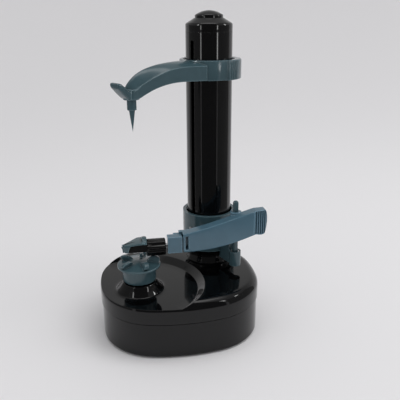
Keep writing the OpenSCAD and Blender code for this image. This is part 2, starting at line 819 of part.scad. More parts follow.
// A pointed tooth that stands on the rim and leans outwards
module tooth() {
    translate([0, tooth_t / 2, rim_z + 0.5]) rotate([90, 0, 0]) linear_extrude(tooth_t) polygon([
        [5, 0], [rim_r - 1.6, 0], [rim_r - 0.7, rim_t + 0.2], [rim_r - 1.3, tooth_h - 2],
        [rim_r - 2.6, tooth_h - 0.7], [rim_r - 4.2, tooth_h - 0.5], [rim_r - 5.6, tooth_h - 1.3],
        [rim_r - 8, tooth_h - 4.2]
    ]);
}

// Section of the thread: a wide crest and a round root
function thread_section() = concat(
    [for (a = [-65, -32, 0, 32, 65]) polar(thread_r, a)],
    [for (a = [94:43:266]) polar(root_r, a)]
);

module lead_screw() {
    start_a = arm_a + 180 - 360 * (pin_z - thread_z0) / lead;
    turns = thread_l / lead;
    color(STEEL) at_tower() {
        translate([0, 0, plate_z + 0.1]) cylinder(r = thrust_r, h = plate_t + 0.3, $fn = SMALL);
        translate([0, 0, plate_top + 0.3]) cylinder(r = journal_r, h = screw_top_z - plate_top - 0.3);
        translate([0, 0, thread_z0]) rotate(start_a)
            linear_extrude(height = thread_l, twist = -360 * turns, slices = floor(turns * 12), segments = 0)
                polygon(thread_section());
    }
}

module lead_screw_gear() {
    color(NYLON) at_tower() output_gear(screw_turn, journal_r);
}

module lead_screw_bushes() {
    color(BRASS) {
        at_tower(socket_z) ring(bush_r, journal_r + run_gap, tube_floor_t + 1);
        at_tower(web_z) ring(bush_r - 1.5, journal_r + run_gap, web_t);
    }
}

module tower_tube() {
    color(BLACK) difference() {
        union() {
            at_tower(foot_top) cylinder(r = tower_r, h = tower_top - foot_top);
            at_tower(socket_z) cylinder(r = spigot_r, h = foot_top - socket_z + 1);
        }
        at_tower(foot_top) cylinder(r = tower_in_r, h = tower_top);
        difference() {
            at_tower(socket_z + tube_floor_t) cylinder(r = spigot_in_r, h = foot_top);
            for (a = TOWER_SCREW_A) at_tower(socket_z) rotate(a) translate([tower_screw_d, 0, 0])
                cylinder(r = screw_r + boss_wall - 0.5, h = tube_floor_t + 5, $fn = SMALL);
        }
        at_tower(socket_z - 1) cylinder(r = bush_r, h = 10);
        for (a = TOWER_SCREW_A) at_tower(socket_z - 1) rotate(a) translate([tower_screw_d, 0, 0])
            cylinder(r = screw_r, h = 8, $fn = SMALL);
        at_tower(socket_z - 1) rotate(wire_a) translate([wire_d, 0, 0])
            cylinder(r = wire_r + 0.3, h = 10, $fn = SMALL);
        at_tower() rotate(arm_a) {
            translate([0, -slot_w / 2, slot_z0 + slot_w / 2])
                cube([tower_r + 1, slot_w, slot_z1 - slot_z0 - slot_w]);
            for (z = [slot_z0 + slot_w / 2, slot_z1 - slot_w / 2])
                translate([0, 0, z]) rotate([0, 90, 0])
                    cylinder(r = slot_w / 2, h = tower_r + 1, $fn = SMALL);
        }
    }
}

module tower_cap() {
    color(BLACK) at_tower() difference() {
        union() {
            translate([0, 0, cap_z]) rotate_extrude() polygon(concat(
                [[0, 0], [tower_r, 0]],
                curve([tower_r, cap_side_h - 1], [tower_r, cap_side_h + 0.6],
                      [tower_r - 3, cap_side_h + 2.2], [cap_top_r, cap_side_h + cap_cone_h], 8),
                [[0, cap_side_h + cap_cone_h]]
            ));
            translate([0, 0, web_z]) cylinder(r = cap_spigot_r, h = cap_z - web_z + EPS);
        }
        translate([0, 0, web_z + web_t]) cylinder(r = cap_in_r, h = lip_under_z - web_z - web_t);
        translate([0, 0, cap_z]) cylinder(r = button_r + 0.2 - EPS, h = 30);
        translate([0, 0, web_z - 1]) cylinder(r = bush_r - 1.5, h = web_t + 2);
        for (s = [-1, 1]) rotate(wire_a) translate([7, s * 1.5, web_z - 1])
            cylinder(r = wire_r + 0.1, h = web_t + 2, $fn = SMALL);
    }
}

module power_button() {
    side_h = 2.3;
    dome_z = cap_top_z + side_h;
    dome_h = 4;
    dome_r = ((button_r - 0.1) ^ 2 + dome_h ^ 2) / (2 * dome_h);
    flange_z = lip_under_z - 0.2;
    color(BLACK) at_tower() difference() {
        union() {
            translate([0, 0, flange_z - 0.5]) cylinder(r = button_r - 0.1, h = dome_z - flange_z + 0.5);
            intersection() {
                translate([0, 0, dome_z - 1]) cylinder(r = button_r - 0.1, h = dome_h + 2);
                translate([0, 0, dome_z + dome_h - dome_r]) sphere(r = dome_r);
            }
            translate([0, 0, flange_z - 2]) cylinder(r = cap_in_r - 0.5, h = 2);
            translate([0, 0, switch_top() + button_travel + 0.2])
                cylinder(r = 2.4, h = dome_z - switch_top() - button_travel, $fn = SMALL);
        }
        translate([0, 0, flange_z - 3]) ring(button_r - 2.5, 2.4, cap_top_z - 0.4 - flange_z + 3);
    }
}

function switch_z() = web_z + web_t;
function switch_top() = switch_z() + switch_h;

module button_spring() {
    h = cap_top_z - 0.5 - switch_top();
    color(STEEL) at_tower(switch_top()) coil(3.6, 0.7, h, 4, 10);
}

module power_switch() {
    color(GREY) at_tower() rotate(wire_a) {
        translate([-switch_w / 2, -5, switch_z()]) cube([switch_w + 1, 10, switch_h - EPS]);
        translate([0, 0, switch_top() - 1]) cylinder(r = 1.5, h = 1.2, $fn = SMALL);
    }
}

module tower_screws() {
    color(STEEL) for (a = TOWER_SCREW_A)
        at_tower(socket_floor_z + 0.5) rotate(a) translate([tower_screw_d, 0, 0])
            screw(screw_r, socket_z - socket_floor_z - 0.5 - screw_head_h + 7, screw_head_r, screw_head_h);
}

module wiring() {
    tower_point = function (d, z, side = 0) [
        tower_x + d * cos(wire_a) - side * sin(wire_a),
        tower_y + d * sin(wire_a) + side * cos(wire_a), z
    ];
    out = tower_r + flare_w - 2.4;
    down_z = socket_floor_z + 3;
    color("#a33a32") {
        wire_run([
            tower_point(7, switch_z(), 1.5), tower_point(7, web_z - 6, 1.5), tower_point(wire_d, web_z - 10),
            tower_point(wire_d, down_z), tower_point(out, down_z), tower_point(out, 22),
            [tray_x + tray_l - 8, tray_y + tray_w + 3, 22], [tray_x + tray_l - 8, tray_y + tray_w, 22]
        ]);
        wire_run([
            [tray_x + 8, tray_y + tray_w, 20], [tray_x + 8, tray_y + tray_w + 6, 20],
            [motor_x + motor_r + 3, motor_y + 6, 14], [motor_x + motor_r, motor_y, 14]
        ]);
        wire_run([
            [jack_x, jack_y - seam_step - 0.2 - jack_l + 2, jack_z], [jack_x, jack_y - jack_l - 6, jack_z],
            [jack_x - 4, tray_y + tray_w + 4, jack_z - 6], [jack_x - 4, tray_y + tray_w, jack_z - 6]
        ]);
    }
}

// Three bearing pads inside a sliding collar
module collar_pads(in_r, z, h) {
    for (a = [arm_a + 60, arm_a + 180, arm_a + 300])
        translate([0, 0, z]) ring_sector(in_r + 0.5, pad_r, h, a, pad_a / 2);
}

module carriage_collar() {
    hinge_d = norm([hinge_x - tower_x, hinge_y - tower_y]);
    hinge_a = atan2(hinge_y - tower_y, hinge_x - tower_x);
    color(TEAL) difference() {
        union() {
            at_tower(collar_z) ring(collar_r, collar_in_r, collar_h);
            at_tower() collar_pads(collar_in_r, collar_z + 1, collar_h - 2);
            at_tower() rotate(hinge_a) translate([collar_r - 1, -bracket_t / 2, bracket_z])
                cube([hinge_d - collar_r + 1, bracket_t, bracket_h]);
            at_hinge(bracket_z) cylinder(r = barrel_r, h = sleeve_h, $fn = SMALL);
        }
        at_hinge(bracket_z + sleeve_h) cylinder(r = barrel_r + 1, h = bracket_h, $fn = SMALL);
        at_hinge(bracket_z + 1) cylinder(r = pin_r + run_gap, h = sleeve_h, $fn = SMALL);
        at_hinge(bracket_z + spring_pocket) cylinder(r = barrel_r - 1.1, h = sleeve_h, $fn = SMALL);
        at_tower() rotate(arm_a) {
            translate([tower_r, -web_w / 2 - 0.1, nut_z + 1]) cube([key_r - tower_r, web_w + 0.2, nut_h - 2]);
            for (z = [nut_z + 3.5, nut_z + nut_h - 3.5]) translate([tower_r, 0, z]) rotate([0, 90, 0]) {
                cylinder(r = 0.9, h = collar_r, $fn = SMALL);
                translate([0, 0, collar_r - 0.7 - tower_r]) cylinder(r = 1.7, h = 5, $fn = SMALL);
            }
        }
    }
}

module follower_nut() {
    color(NYLON) at_tower() difference() {
        union() {
            translate([0, 0, nut_z]) cylinder(r = nut_r, h = nut_h);
            rotate(arm_a) translate([nut_r - 1, -web_w / 2, nut_z + 1.1])
                cube([key_r - nut_r + 1, web_w, nut_h - 2.2]);
        }
        translate([0, 0, nut_z - 1]) cylinder(r = nut_bore_r, h = nut_h + 2);
        rotate(arm_a) {
            for (z = [nut_z + 3.5, nut_z + nut_h - 3.5]) translate([key_r - 5, 0, z]) rotate([0, 90, 0])
                cylinder(r = 0.8, h = 6, $fn = SMALL);
        }
    }
    color(STEEL) at_tower() rotate(arm_a) translate([root_r + 0.4, 0, pin_z]) rotate([0, 90, 0])
        cylinder(r = 0.8, h = nut_r - root_r - 1.4, $fn = SMALL);
}

module carriage_screws() {
    color(BLACK) at_tower() rotate(arm_a)
        for (z = [nut_z + 3.5, nut_z + nut_h - 3.5])
            translate([collar_r + 0.1, 0, z]) rotate([0, -90, 0]) screw(0.8, 5, 1.6, 0.8);
}

module hinge_pin() {
    color(TEAL) at_hinge() {
        translate([0, 0, bracket_z + 1.2])
            cylinder(r = pin_r, h = pin_top_z - pin_r - bracket_z - 1.2, $fn = SMALL);
        translate([0, 0, pin_top_z - pin_r]) sphere(r = pin_r, $fn = SMALL);
    }
}

module arm_spring() {
    color(STEEL) at_hinge(bracket_z + spring_pocket + 0.2)
        coil(pin_r + 1, 0.9, sleeve_h - spring_pocket - 0.4, 5, 12);
}

// Front view of the arm: it sweeps up from the blade end to the finger grip
function arm_outline() = concat(
    curve([2, 81.5], [28, 81.2], [48, 86], [68, 93.6]),
    curve([69, 93.6], [72, 92.6], [75.5, 92.4], [77, 93.6], 4),
    [[78.9, 97.7], [79.6, 107.3]],
    curve([79.5, 109], [79.2, 113.5], [78.2, 116.2], [74, 116.4], 6),
    curve([68, 116.3], [50, 111.6], [28, 103.4], [2, 98.9])
);

module peel_arm() {
    grip_x = 67.5;
    color(TEAL) difference() {
        union() {
            translate([0, arm_front_y + arm_t, 0]) rotate([90, 0, 0])
                linear_extrude(arm_t) polygon(arm_outline());
            at_hinge(arm_barrel_z) cylinder(r = barrel_r, h = arm_barrel_h, $fn = SMALL);
            translate([-1, arm_front_y + arm_t - 2, 84]) cube([11, 4, 14.5]);
            translate([-6, arm_front_y + arm_t - 1, 84]) cube([6, 3, 12.2]);
        }
        at_hinge(arm_barrel_z - 10) cylinder(r = pin_r, h = 60, $fn = SMALL);
        translate([4, arm_front_y - 1, 84.3]) cube([2.1, 5, 12.7]);
        for (i = [0:5])
            translate([grip_x + 2 * i, arm_front_y - 1, 80]) cube([0.8, 1.7, 50]);
    }
}

module head_socket() {
    color(TEAL) difference() {
        translate([socket_x0, arm_front_y + 1, 81.5]) cube([-socket_x0 + socket_x1, arm_t - 3, 15]);
        translate([socket_x0 - 1, head_y, head_z]) rotate([0, 90, 0])
            cylinder(r = head_pin_r, h = socket_pin_l, $fn = SMALL);
    }
    color(TEAL) translate([socket_x1, arm_front_y + 3, 83.5]) cube([2.6, arm_t - 6, 11]);
}

module head_pin() {
    color(STEEL) translate([grip_x1 - 8, head_y, head_z]) rotate([0, 90, 0])
        cylinder(r = head_pin_r, h = socket_x0 + socket_pin_l - 1 - grip_x1 + 8 - EPS, $fn = SMALL);
}

module cartridge_grip() {
    flutes = 14;
    color(BLACK) {
        translate([grip_x0, head_y, head_z]) rotate([0, 90, 0]) difference() {
            cylinder(r = grip_r, h = grip_l);
            for (i = [0:flutes - 1]) rotate(360 / flutes * i) translate([grip_r + 0.3, 0, 1])
                cylinder(r = 0.9, h = grip_l, $fn = 24);
            translate([0, 0, grip_l - 8.5]) cylinder(r = head_pin_r + run_gap, h = 10, $fn = SMALL);
        }
        translate([0, head_y, core_z]) linear_extrude(guard_top_z - guard_wall - core_z) polygon([
            [core_x0, -core_half], [grip_x0 + 1, -core_half], [grip_x0 + 1, core_half],
            [-38.2, core_half], [core_x0, 0.4]
        ]);
    }
}

// Plan of the guard from the middle of the head, cut away behind its far end
function guard_plan(wall) = [
    [guard_x0 + wall, wall - guard_half], [grip_x0 + wall, wall - guard_half],
    [grip_x0 + wall, guard_half - wall],
    [-38.9 + wall * 0.25, guard_half - wall], [-49.6 + wall * 0.7, -1.8 - wall * 0.3], [guard_x0 + wall, -5]
];

module blade_guard() {
    color(TEAL) translate([0, head_y, 0]) difference() {
        union() {
            translate([0, 0, guard_bottom_z]) linear_extrude(guard_top_z - guard_bottom_z)
                polygon(guard_plan(0));
            intersection() {
                translate([grip_x0 - guard_ridge_l, 0, head_z]) rotate([0, 90, 0])
                    cylinder(r = guard_ridge_r, h = guard_ridge_l);
                translate([grip_x0 - 10, -guard_half, guard_top_z - 1]) cube([20, 2 * guard_half, 10]);
            }
        }
        translate([0, 0, guard_bottom_z - 1]) linear_extrude(guard_top_z - guard_wall - guard_bottom_z + 1)
            polygon(guard_plan(guard_wall));
        translate([guard_window_x, -guard_half - 1, guard_bottom_z - 1])
            cube([grip_x0 - guard_window_x, guard_wall + 1, guard_top_z - guard_wall - guard_bottom_z + 1]);
    }
}

module peeler_blade() {
    for (y = [-4.5, 1]) color(STEEL)
        translate([core_x0 + 2, head_y + y, core_z - 1.6]) cube([9, 0.8, 1.6]);
}

// Plan of the arm, from the column's axis along its length
function top_plan_half() = [
    [19, 17.1], [40, 13.9], [57, 11.2], [68, 9.4], [79, 7.7], [84, 6.9]
];
function top_side() = concat(
    [[19, 228.4]], curve([34, 228.8], [52, 229.8], [66, 229.3], [85.5, 219.4]),
    [[94.5, 219.2]], curve([95.6, 228], [85.5, 238], [69, 246.4], [34, 245.2]), [[17, 245.2]]
);

module along_top_arm() at_tower() rotate(arm_a) children();

module top_arm() {
    half = top_plan_half();
    last = len(half) - 1;
    color(TEAL) difference() {
        union() {
            at_tower(top_z) ring(top_front_r, top_in_r, top_h);
            at_tower(top_z) ring_sector(top_band_r, top_in_r + 1, top_h, band_a, band_half);
            at_tower() collar_pads(top_in_r, top_z + 1, top_h - 2);
            along_top_arm() translate([tower_r - 1.5, -web_w / 2, top_z])
                cube([top_in_r - tower_r + 2, web_w, top_h]);
            along_top_arm() difference() {
                intersection() {
                    translate([0, 30, 0]) rotate([90, 0, 0]) linear_extrude(60)
                        polygon([for (p = top_side()) [p[0], p[1] - 228 + top_z]]);
                    translate([0, 0, top_z - 20]) linear_extrude(60) polygon(concat(
                        [for (p = half) [p[0], -p[1]]],
                        [for (a = [-60:20:60]) [reach, 0] + polar(6.2, a)],
                        [for (i = [last:-1:0]) [half[i][0], half[i][1]]]
                    ));
                }
                translate([0, 0, top_z - 20]) cylinder(r = top_in_r + 1, h = 60);
            }
            along_top_arm() translate([reach, 0, hub_top_z]) cylinder(r = boss_r, h = boss_top_z - hub_top_z);
            along_top_arm() lift_tab();
        }
        along_top_arm() translate([reach, 0, hub_top_z - 1])
            cylinder(r = stem_r + run_gap, h = 20, $fn = SMALL);
        along_top_arm() translate([reach, 0, boss_top_z - clip_pocket])
            cylinder(r = clip_r + 0.3, h = 20, $fn = SMALL);
        at_tower() rotate(band_a) {
            translate([0, -release_w / 2 - move_gap, release_z - release_h / 2 - move_gap])
                cube([40, release_w + 2 * move_gap, release_h + 2 * move_gap]);
            translate([0, -flange_w / 2 - move_gap, release_z - flange_h / 2 - move_gap])
                cube([pocket_r, flange_w + 2 * move_gap, flange_h + 2 * move_gap]);
        }
        at_tower(release_z - leaf_h / 2 - 0.2)
            ring_sector(leaf_r, top_in_r - 3, leaf_h + 0.4, band_a, leaf_a);
        for (s = [-1, 1]) at_tower(top_z - 1) rotate(band_a + s * (band_half - 6))
            for (i = [0:2]) rotate(-s * 5 * i) translate([top_band_r, 0, 0])
                cylinder(r = 0.6, h = top_h + 2, $fn = 24);
    }
}

module lift_tab() {
    translate([0, tab_w / 2, top_z - 228]) rotate([90, 0, 0]) linear_extrude(tab_w) polygon([
        [reach + 2, 218.4], [reach + 5, 218.6], [reach + 14, 225.6], [reach + 19, 230.8],
        [reach + 19.3, 232], [reach + 18.2, 232.8], [reach + 15.4, 232.6], [reach + 7.6, 228.4],
        [reach + 2, 227.6]
    ]);
}

module arm_release() {
    color(BLACK) at_tower() rotate(band_a) {
        translate([pocket_r - 0.2, -release_w / 2, release_z - release_h / 2])
            cube([top_band_r + 2.2 - pocket_r, release_w, release_h]);
        translate([leaf_r + 0.3, -flange_w / 2, release_z - flange_h / 2])
            cube([pocket_r - 0.2 - leaf_r - 0.3, flange_w, flange_h]);
    }
}

module release_spring() {
    color(STEEL) at_tower(release_z - leaf_h / 2)
        ring_sector(leaf_r, leaf_r - leaf_t, leaf_h, band_a, leaf_a - 0.5);
}

module centring_spike() {
    tip_z = hub_top_z - spike_l + 0.3;
    hub_z = tip_z + 18.3;
    color(TEAL) along_top_arm() translate([reach, 0, 0]) rotate_extrude() polygon([
        [0, tip_z], [hub_r - 1.35, hub_z], [hub_r - 0.3, hub_z], [hub_r, hub_z + 0.4],
        [hub_r, hub_top_z - 0.5], [hub_r - 0.3, hub_top_z - 0.2], [stem_r, hub_top_z - 0.2],
        [stem_r, boss_top_z - 0.6], [0, boss_top_z - 0.6]
    ]);
}

module spike_clip() {
    color(STEEL) along_top_arm() translate([reach, 0, boss_top_z - clip_pocket + 0.2])
        ring(clip_r, stem_r, clip_t);
}

base_lower_shell();
base_upper_shell();
battery_door();
rubber_feet();
base_screws();
battery_tray();
batteries();
battery_contacts();
dc_jack();
gear_plate();
plate_screws();
motor();
motor_screws();
motor_pinion();
first_gear();
second_gear();
drive_gear();
gear_axles();
spindle_gear();
spindle_shaft();
spindle_bush();
food_holder();
lead_screw();
lead_screw_gear();
lead_screw_bushes();
tower_tube();
tower_cap();
power_button();
button_spring();
power_switch();
tower_screws();
wiring();
carriage_collar();
follower_nut();
carriage_screws();
hinge_pin();
arm_spring();
peel_arm();
head_socket();
head_pin();
cartridge_grip();
blade_guard();
peeler_blade();
top_arm();
arm_release();
release_spring();
centring_spike();
spike_clip();
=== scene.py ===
"""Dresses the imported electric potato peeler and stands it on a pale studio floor.

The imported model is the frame. A moulding whose solid is plain is replaced by a surface worked out
with numpy, and every solid that stays gets a finish made of nodes. Shapes are worked out in
millimetres and become metres as they go into their meshes.
"""

import math

import bmesh
import bpy
import numpy as np
from mathutils import Matrix


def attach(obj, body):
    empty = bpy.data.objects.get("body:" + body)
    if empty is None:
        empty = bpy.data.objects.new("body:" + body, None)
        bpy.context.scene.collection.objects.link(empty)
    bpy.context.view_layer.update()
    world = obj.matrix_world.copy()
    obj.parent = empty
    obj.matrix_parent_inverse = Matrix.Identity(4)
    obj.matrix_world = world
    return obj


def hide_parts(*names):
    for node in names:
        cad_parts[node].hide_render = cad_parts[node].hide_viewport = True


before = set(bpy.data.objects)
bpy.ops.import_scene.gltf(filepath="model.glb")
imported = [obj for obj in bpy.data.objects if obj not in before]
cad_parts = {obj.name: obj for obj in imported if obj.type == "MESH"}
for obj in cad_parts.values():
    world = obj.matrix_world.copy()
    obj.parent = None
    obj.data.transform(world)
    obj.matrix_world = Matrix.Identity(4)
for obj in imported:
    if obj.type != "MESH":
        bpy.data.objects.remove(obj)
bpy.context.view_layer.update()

bl_info = {
    "name": "Potato Peeler",
    "version": (1, 0, 0),
    "blender": (4, 5, 0),
    "location": "3D View > Sidebar > Peeler",
    "description": "Makes the mouldings, finishes and studio of an electric potato peeler",
    "category": "Object",
}

MM = 0.001
TURN = 2 * math.pi


# Nodes and colours


def linear(code):
    """An sRGB hex colour as linear red, green, blue and alpha."""
    c = np.array([int(code[i : i + 2], 16) for i in (1, 3, 5)]) / 255
    return (*np.where(c <= 0.04045, c / 12.92, ((c + 0.055) / 1.055) ** 2.4), 1.0)


def grey(v):
    """A linear grey with full alpha."""
    return (v, v, v, 1.0)


def add(tree, kind, values=None, **links):
    """Adds a node with its settings and links.

    A value or link goes to the input socket of that name or number. In a link's name _ stands for a
    space, and stands before a number. Stops of place and linear colour go to a colour ramp, and any
    other value to the node itself.
    """
    node = tree.nodes.new(kind)
    for key, value in (values or {}).items():
        if key == "stops":
            ends = node.color_ramp.elements
            while len(ends) < len(value):
                ends.new(0.5)
            for end, (place, colour) in zip(ends, value):
                end.position, end.color = place, colour
        elif isinstance(key, int) or key in node.inputs:
            node.inputs[key].default_value = value
        else:
            setattr(node, key, value)
    for key, socket in links.items():
        at = int(key[1:]) if key[0] == "_" else key.replace("_", " ")
        tree.links.new(socket, node.inputs[at])
    return node


def blank(name):
    """A new material with no nodes, and its node tree."""
    material = bpy.data.materials.new(name)
    material.use_nodes = True
    material.node_tree.nodes.clear()
    return material, material.node_tree


# How many rays a corner or nook is found with, the spacing of the marks that the melt leaves where it
# flowed, and how near a facing wall makes a nook, in millimetres
FEEL, FLOW, NOOK = 4, 22.0, 2.5


def moulded(name, colour, rough, edge, wave, grain, painted_highlight, ior=1.52):
    """A moulded plastic: slow waves of shrinkage, fine tool grain, a painted highlight on its outer corners
    and painted shade in its nooks.

    edge is the radius of its corners, wave and grain are each a spacing and a depth, all in millimetres,
    and the setting after grain is how much paler the corners are painted, as a painted highlight.
    """
    material, tree = blank(name)
    place = add(tree, "ShaderNodeTexCoord").outputs["Object"]
    waves = add(tree, "ShaderNodeTexNoise", {"Scale": 1 / (wave[0] * MM), "Detail": 1.0}, Vector=place)
    grains = add(tree, "ShaderNodeTexNoise", {"Scale": 1 / (grain[0] * MM), "Detail": 3.0}, Vector=place)
    flow = add(
        tree, "ShaderNodeTexNoise", {"Scale": 1 / (FLOW * MM), "Detail": 2.0, "Distortion": 1.2}, Vector=place
    ).outputs["Fac"]

    # The narrow bevel rounds the corners, and the wide one finds them for the painted highlight
    narrow = add(tree, "ShaderNodeBevel", {"samples": FEEL, "Radius": edge * MM})
    wide = add(tree, "ShaderNodeBevel", {"samples": FEEL, "Radius": 2 * edge * MM})
    flat = add(tree, "ShaderNodeNewGeometry").outputs["Normal"]
    bent = add(tree, "ShaderNodeVectorMath", {"operation": "DOT_PRODUCT"}, _0=wide.outputs[0], _1=flat)
    corner = add(
        tree,
        "ShaderNodeMapRange",
        {"From Min": 0.99, "From Max": 0.86, "To Min": 0.0, "To Max": painted_highlight},
        Value=bent.outputs["Value"],
    )
    # Only corners that stand out get the painted highlight: those in a nook are shut off, and the nook itself
    # gets a little painted shade
    nook = add(tree, "ShaderNodeAmbientOcclusion", {"samples": FEEL, "Distance": NOOK * MM})
    clear = add(
        tree,
        "ShaderNodeMapRange",
        {"From Min": 0.55, "From Max": 0.9, "To Min": 0.0, "To Max": 1.0},
        Value=nook.outputs["AO"],
    ).outputs[0]
    corner = add(tree, "ShaderNodeMath", {"operation": "MULTIPLY"}, _0=corner.outputs[0], _1=clear)

    base = np.array(linear(colour))
    # The darker colour is painted shade for nooks, and the paler one is a painted highlight for corners
    painted_shade_colour, painted_highlight_colour = tuple(base * 0.6), tuple(np.minimum(base * 2.4 + 0.06, 1))
    stops = [(0.3, tuple(base * 0.94)), (0.7, tuple(np.minimum(base * 1.06, 1)))]
    tint_and_painted_shade = add(tree, "ShaderNodeValToRGB", {"stops": stops}, Fac=flow).outputs["Color"]
    # Painted shade: the colour goes darker where the occlusion finds a nook
    tint_and_painted_shade = add(tree, "ShaderNodeMix", {"data_type": "RGBA", 6: painted_shade_colour}, _0=clear, _7=tint_and_painted_shade).outputs[2]
    # Painted highlight: the colour goes paler on the outer corners
    skin_with_painted_light = add(tree, "ShaderNodeMix", {"data_type": "RGBA", 7: painted_highlight_colour}, _0=corner.outputs[0], _6=tint_and_painted_shade)
    rubbed = add(
        tree,
        "ShaderNodeMapRange",
        {"From Min": 0.3, "From Max": 0.7, "To Min": rough * 0.85, "To Max": rough * 1.2},
        Value=flow,
    )
    bump = narrow
    for depth, height in ((wave[1], waves), (grain[1], grains)):
        bump = add(
            tree,
            "ShaderNodeBump",
            {"Distance": depth * MM},
            Height=height.outputs["Fac"],
            Normal=bump.outputs[0],
        )
    shader = add(
        tree,
        "ShaderNodeBsdfPrincipled",
        {"IOR": ior},
        Base_Color=skin_with_painted_light.outputs[2],
        Roughness=rubbed.outputs[0],
        Normal=bump.outputs[0],
    )
    add(tree, "ShaderNodeOutputMaterial", Surface=shader.outputs[0])
    return material


def metal(name, colour, rough, line, depth):
    """A bare metal with the fine lines of its last cut, their spacing and depth in millimetres.

    The lines are upright, and each is about fifty times as long as it is wide.
    """
    material, tree = blank(name)
    place = add(tree, "ShaderNodeTexCoord").outputs["Object"]
    fine = 1.0 / (line * MM)
    drawn = add(tree, "ShaderNodeMapping", {"Scale": (fine, fine, fine / 50)}, Vector=place)
    lines = add(tree, "ShaderNodeTexNoise", {"Scale": 1.0, "Detail": 4.0}, Vector=drawn.outputs[0])
    lines = lines.outputs["Fac"]
    corner = add(tree, "ShaderNodeBevel", {"samples": FEEL, "Radius": 0.1 * MM})
    rubbed = add(
        tree,
        "ShaderNodeMapRange",
        {"From Min": 0.3, "From Max": 0.7, "To Min": rough * 0.7, "To Max": rough * 1.4},
        Value=lines,
    )
    bump = add(tree, "ShaderNodeBump", {"Distance": depth * MM}, Height=lines, Normal=corner.outputs[0])
    shader = add(
        tree,
        "ShaderNodeBsdfPrincipled",
        {"Base Color": linear(colour), "Metallic": 1.0},
        Roughness=rubbed.outputs[0],
        Normal=bump.outputs[0],
    )
    add(tree, "ShaderNodeOutputMaterial", Surface=shader.outputs[0])
    return material


# Property groups


class PeelerColours(bpy.types.PropertyGroup):
    """Colours of the finishes, as sRGB hex codes"""

    black: bpy.props.StringProperty(name="Black", description="Gloss mouldings", default="#050506")
    teal: bpy.props.StringProperty(name="Teal", description="Grey-teal mouldings", default="#3a5057")
    # The peeling arm's teal is the grey-teal painted paler and bluer, as painted light
    arm: bpy.props.StringProperty(name="Arm", description="The peeling arm's moulding", default="#496777")
    floor: bpy.props.StringProperty(name="Floor", description="The studio's paper", default="#eae9eb")
    backdrop: bpy.props.StringProperty(name="Backdrop", description="Behind the object", default="#d6d5d6")


class PeelerSizes(bpy.types.PropertyGroup):
    """Counts, sizes and lights that a user would change"""

    teeth: bpy.props.IntProperty(name="Teeth", description="Teeth of the holder", default=5, min=3, max=8)
    flutes: bpy.props.IntProperty(name="Flutes", description="Grooves of the grip", default=10, min=4, max=20)
    floor_size: bpy.props.FloatProperty(name="Floor", description="Paper's width", default=4.0, unit="LENGTH")
    key_power: bpy.props.FloatProperty(
        name="Key", description="Power of the main light", default=10.0, min=0.0, unit="POWER"
    )


# Finishes: edge is the radius of the corners, wave and grain are each a spacing and a depth, line is a
# spacing, all in millimetres. The setting after grain is how much paler the corners are painted, a painted
# highlight.

PLASTICS = {
    # Gloss black ABS, injection moulded in a polished tool: a mirror skin with slow ripples of shrinkage
    "black": {
        "name": "Gloss black ABS", "rough": 0.06, "edge": 0.35,
        "wave": (14.0, 0.003), "grain": (0.35, 0.0004), "painted_highlight": 0.12, "ior": 1.42,
    },
    # Black glass-filled acetal, moulded in a blasted tool: nearly matt
    "core": {
        "name": "Black acetal", "colour": "#060607", "rough": 0.5, "edge": 0.2,
        "wave": (6.0, 0.004), "grain": (0.3, 0.001), "painted_highlight": 0.05, "ior": 1.28,
    },
    # Grey-teal ABS, injection moulded in a fine-stoned tool: a satin skin with a painted highlight on its
    # corners
    "teal": {
        "name": "Grey-teal ABS", "rough": 0.16, "edge": 0.5,
        "wave": (12.0, 0.003), "grain": (0.45, 0.0008), "painted_highlight": 1.0,
    },
    # The same grey-teal ABS, painted a little paler and bluer as painted light, for the brighter light on the
    # peeling arm
    "arm": {
        "name": "Grey-teal ABS, painted lighter", "rough": 0.17, "edge": 0.55,
        "wave": (12.0, 0.003), "grain": (0.45, 0.0008), "painted_highlight": 1.0,
    },
    # Natural acetal, injection moulded: milky and half matt
    "acetal": {
        "name": "Natural acetal", "colour": "#e4e0d4", "rough": 0.38, "edge": 0.15,
        "wave": (6.0, 0.008), "grain": (0.3, 0.002), "painted_highlight": 0.2, "ior": 1.48,
    },
    # Grey ABS of the hidden mouldings, from an unpolished tool: matt with a visible grain
    "inner": {
        "name": "Grey ABS", "colour": "#6d7073", "rough": 0.5, "edge": 0.25,
        "wave": (6.0, 0.01), "grain": (0.5, 0.01), "painted_highlight": 0.3,
    },
    # Black nitrile rubber, pressed: matt, with its corners painted paler as a painted highlight
    "rubber": {
        "name": "Nitrile rubber", "colour": "#323232", "rough": 0.85, "edge": 0.4,
        "wave": (3.0, 0.02), "grain": (0.3, 0.02), "painted_highlight": 0.8, "ior": 1.5,
    },
    # Red PVC insulation, extruded: smooth and half glossy
    "wire": {
        "name": "PVC insulation", "colour": "#8f2620", "rough": 0.35, "edge": 0.1,
        "wave": (4.0, 0.01), "grain": (0.4, 0.003), "painted_highlight": 0.2,
    },
    # Printed jacket of a dry cell, shrunk on: a smooth amber film
    "cell": {
        "name": "Shrunk film", "colour": "#b08a3c", "rough": 0.28, "edge": 0.3,
        "wave": (12.0, 0.01), "grain": (0.3, 0.001), "painted_highlight": 0.6,
    },
}
METALS = {
    # Stainless steel, ground on a fine belt: satin, with fine lines along its length
    "steel": {"name": "Stainless steel", "colour": "#c3c5c8", "rough": 0.4, "line": 0.3, "depth": 0.0015},
    # Free-cutting brass, turned: warm, with the lines of the lathe
    "brass": {"name": "Turned brass", "colour": "#bf9e5a", "rough": 0.3, "line": 0.25, "depth": 0.002},
    # Zinc plated steel, deep drawn: cool and slightly cloudy
    "can": {"name": "Zinc plated steel", "colour": "#a9adb2", "rough": 0.3, "line": 0.6, "depth": 0.002},
}

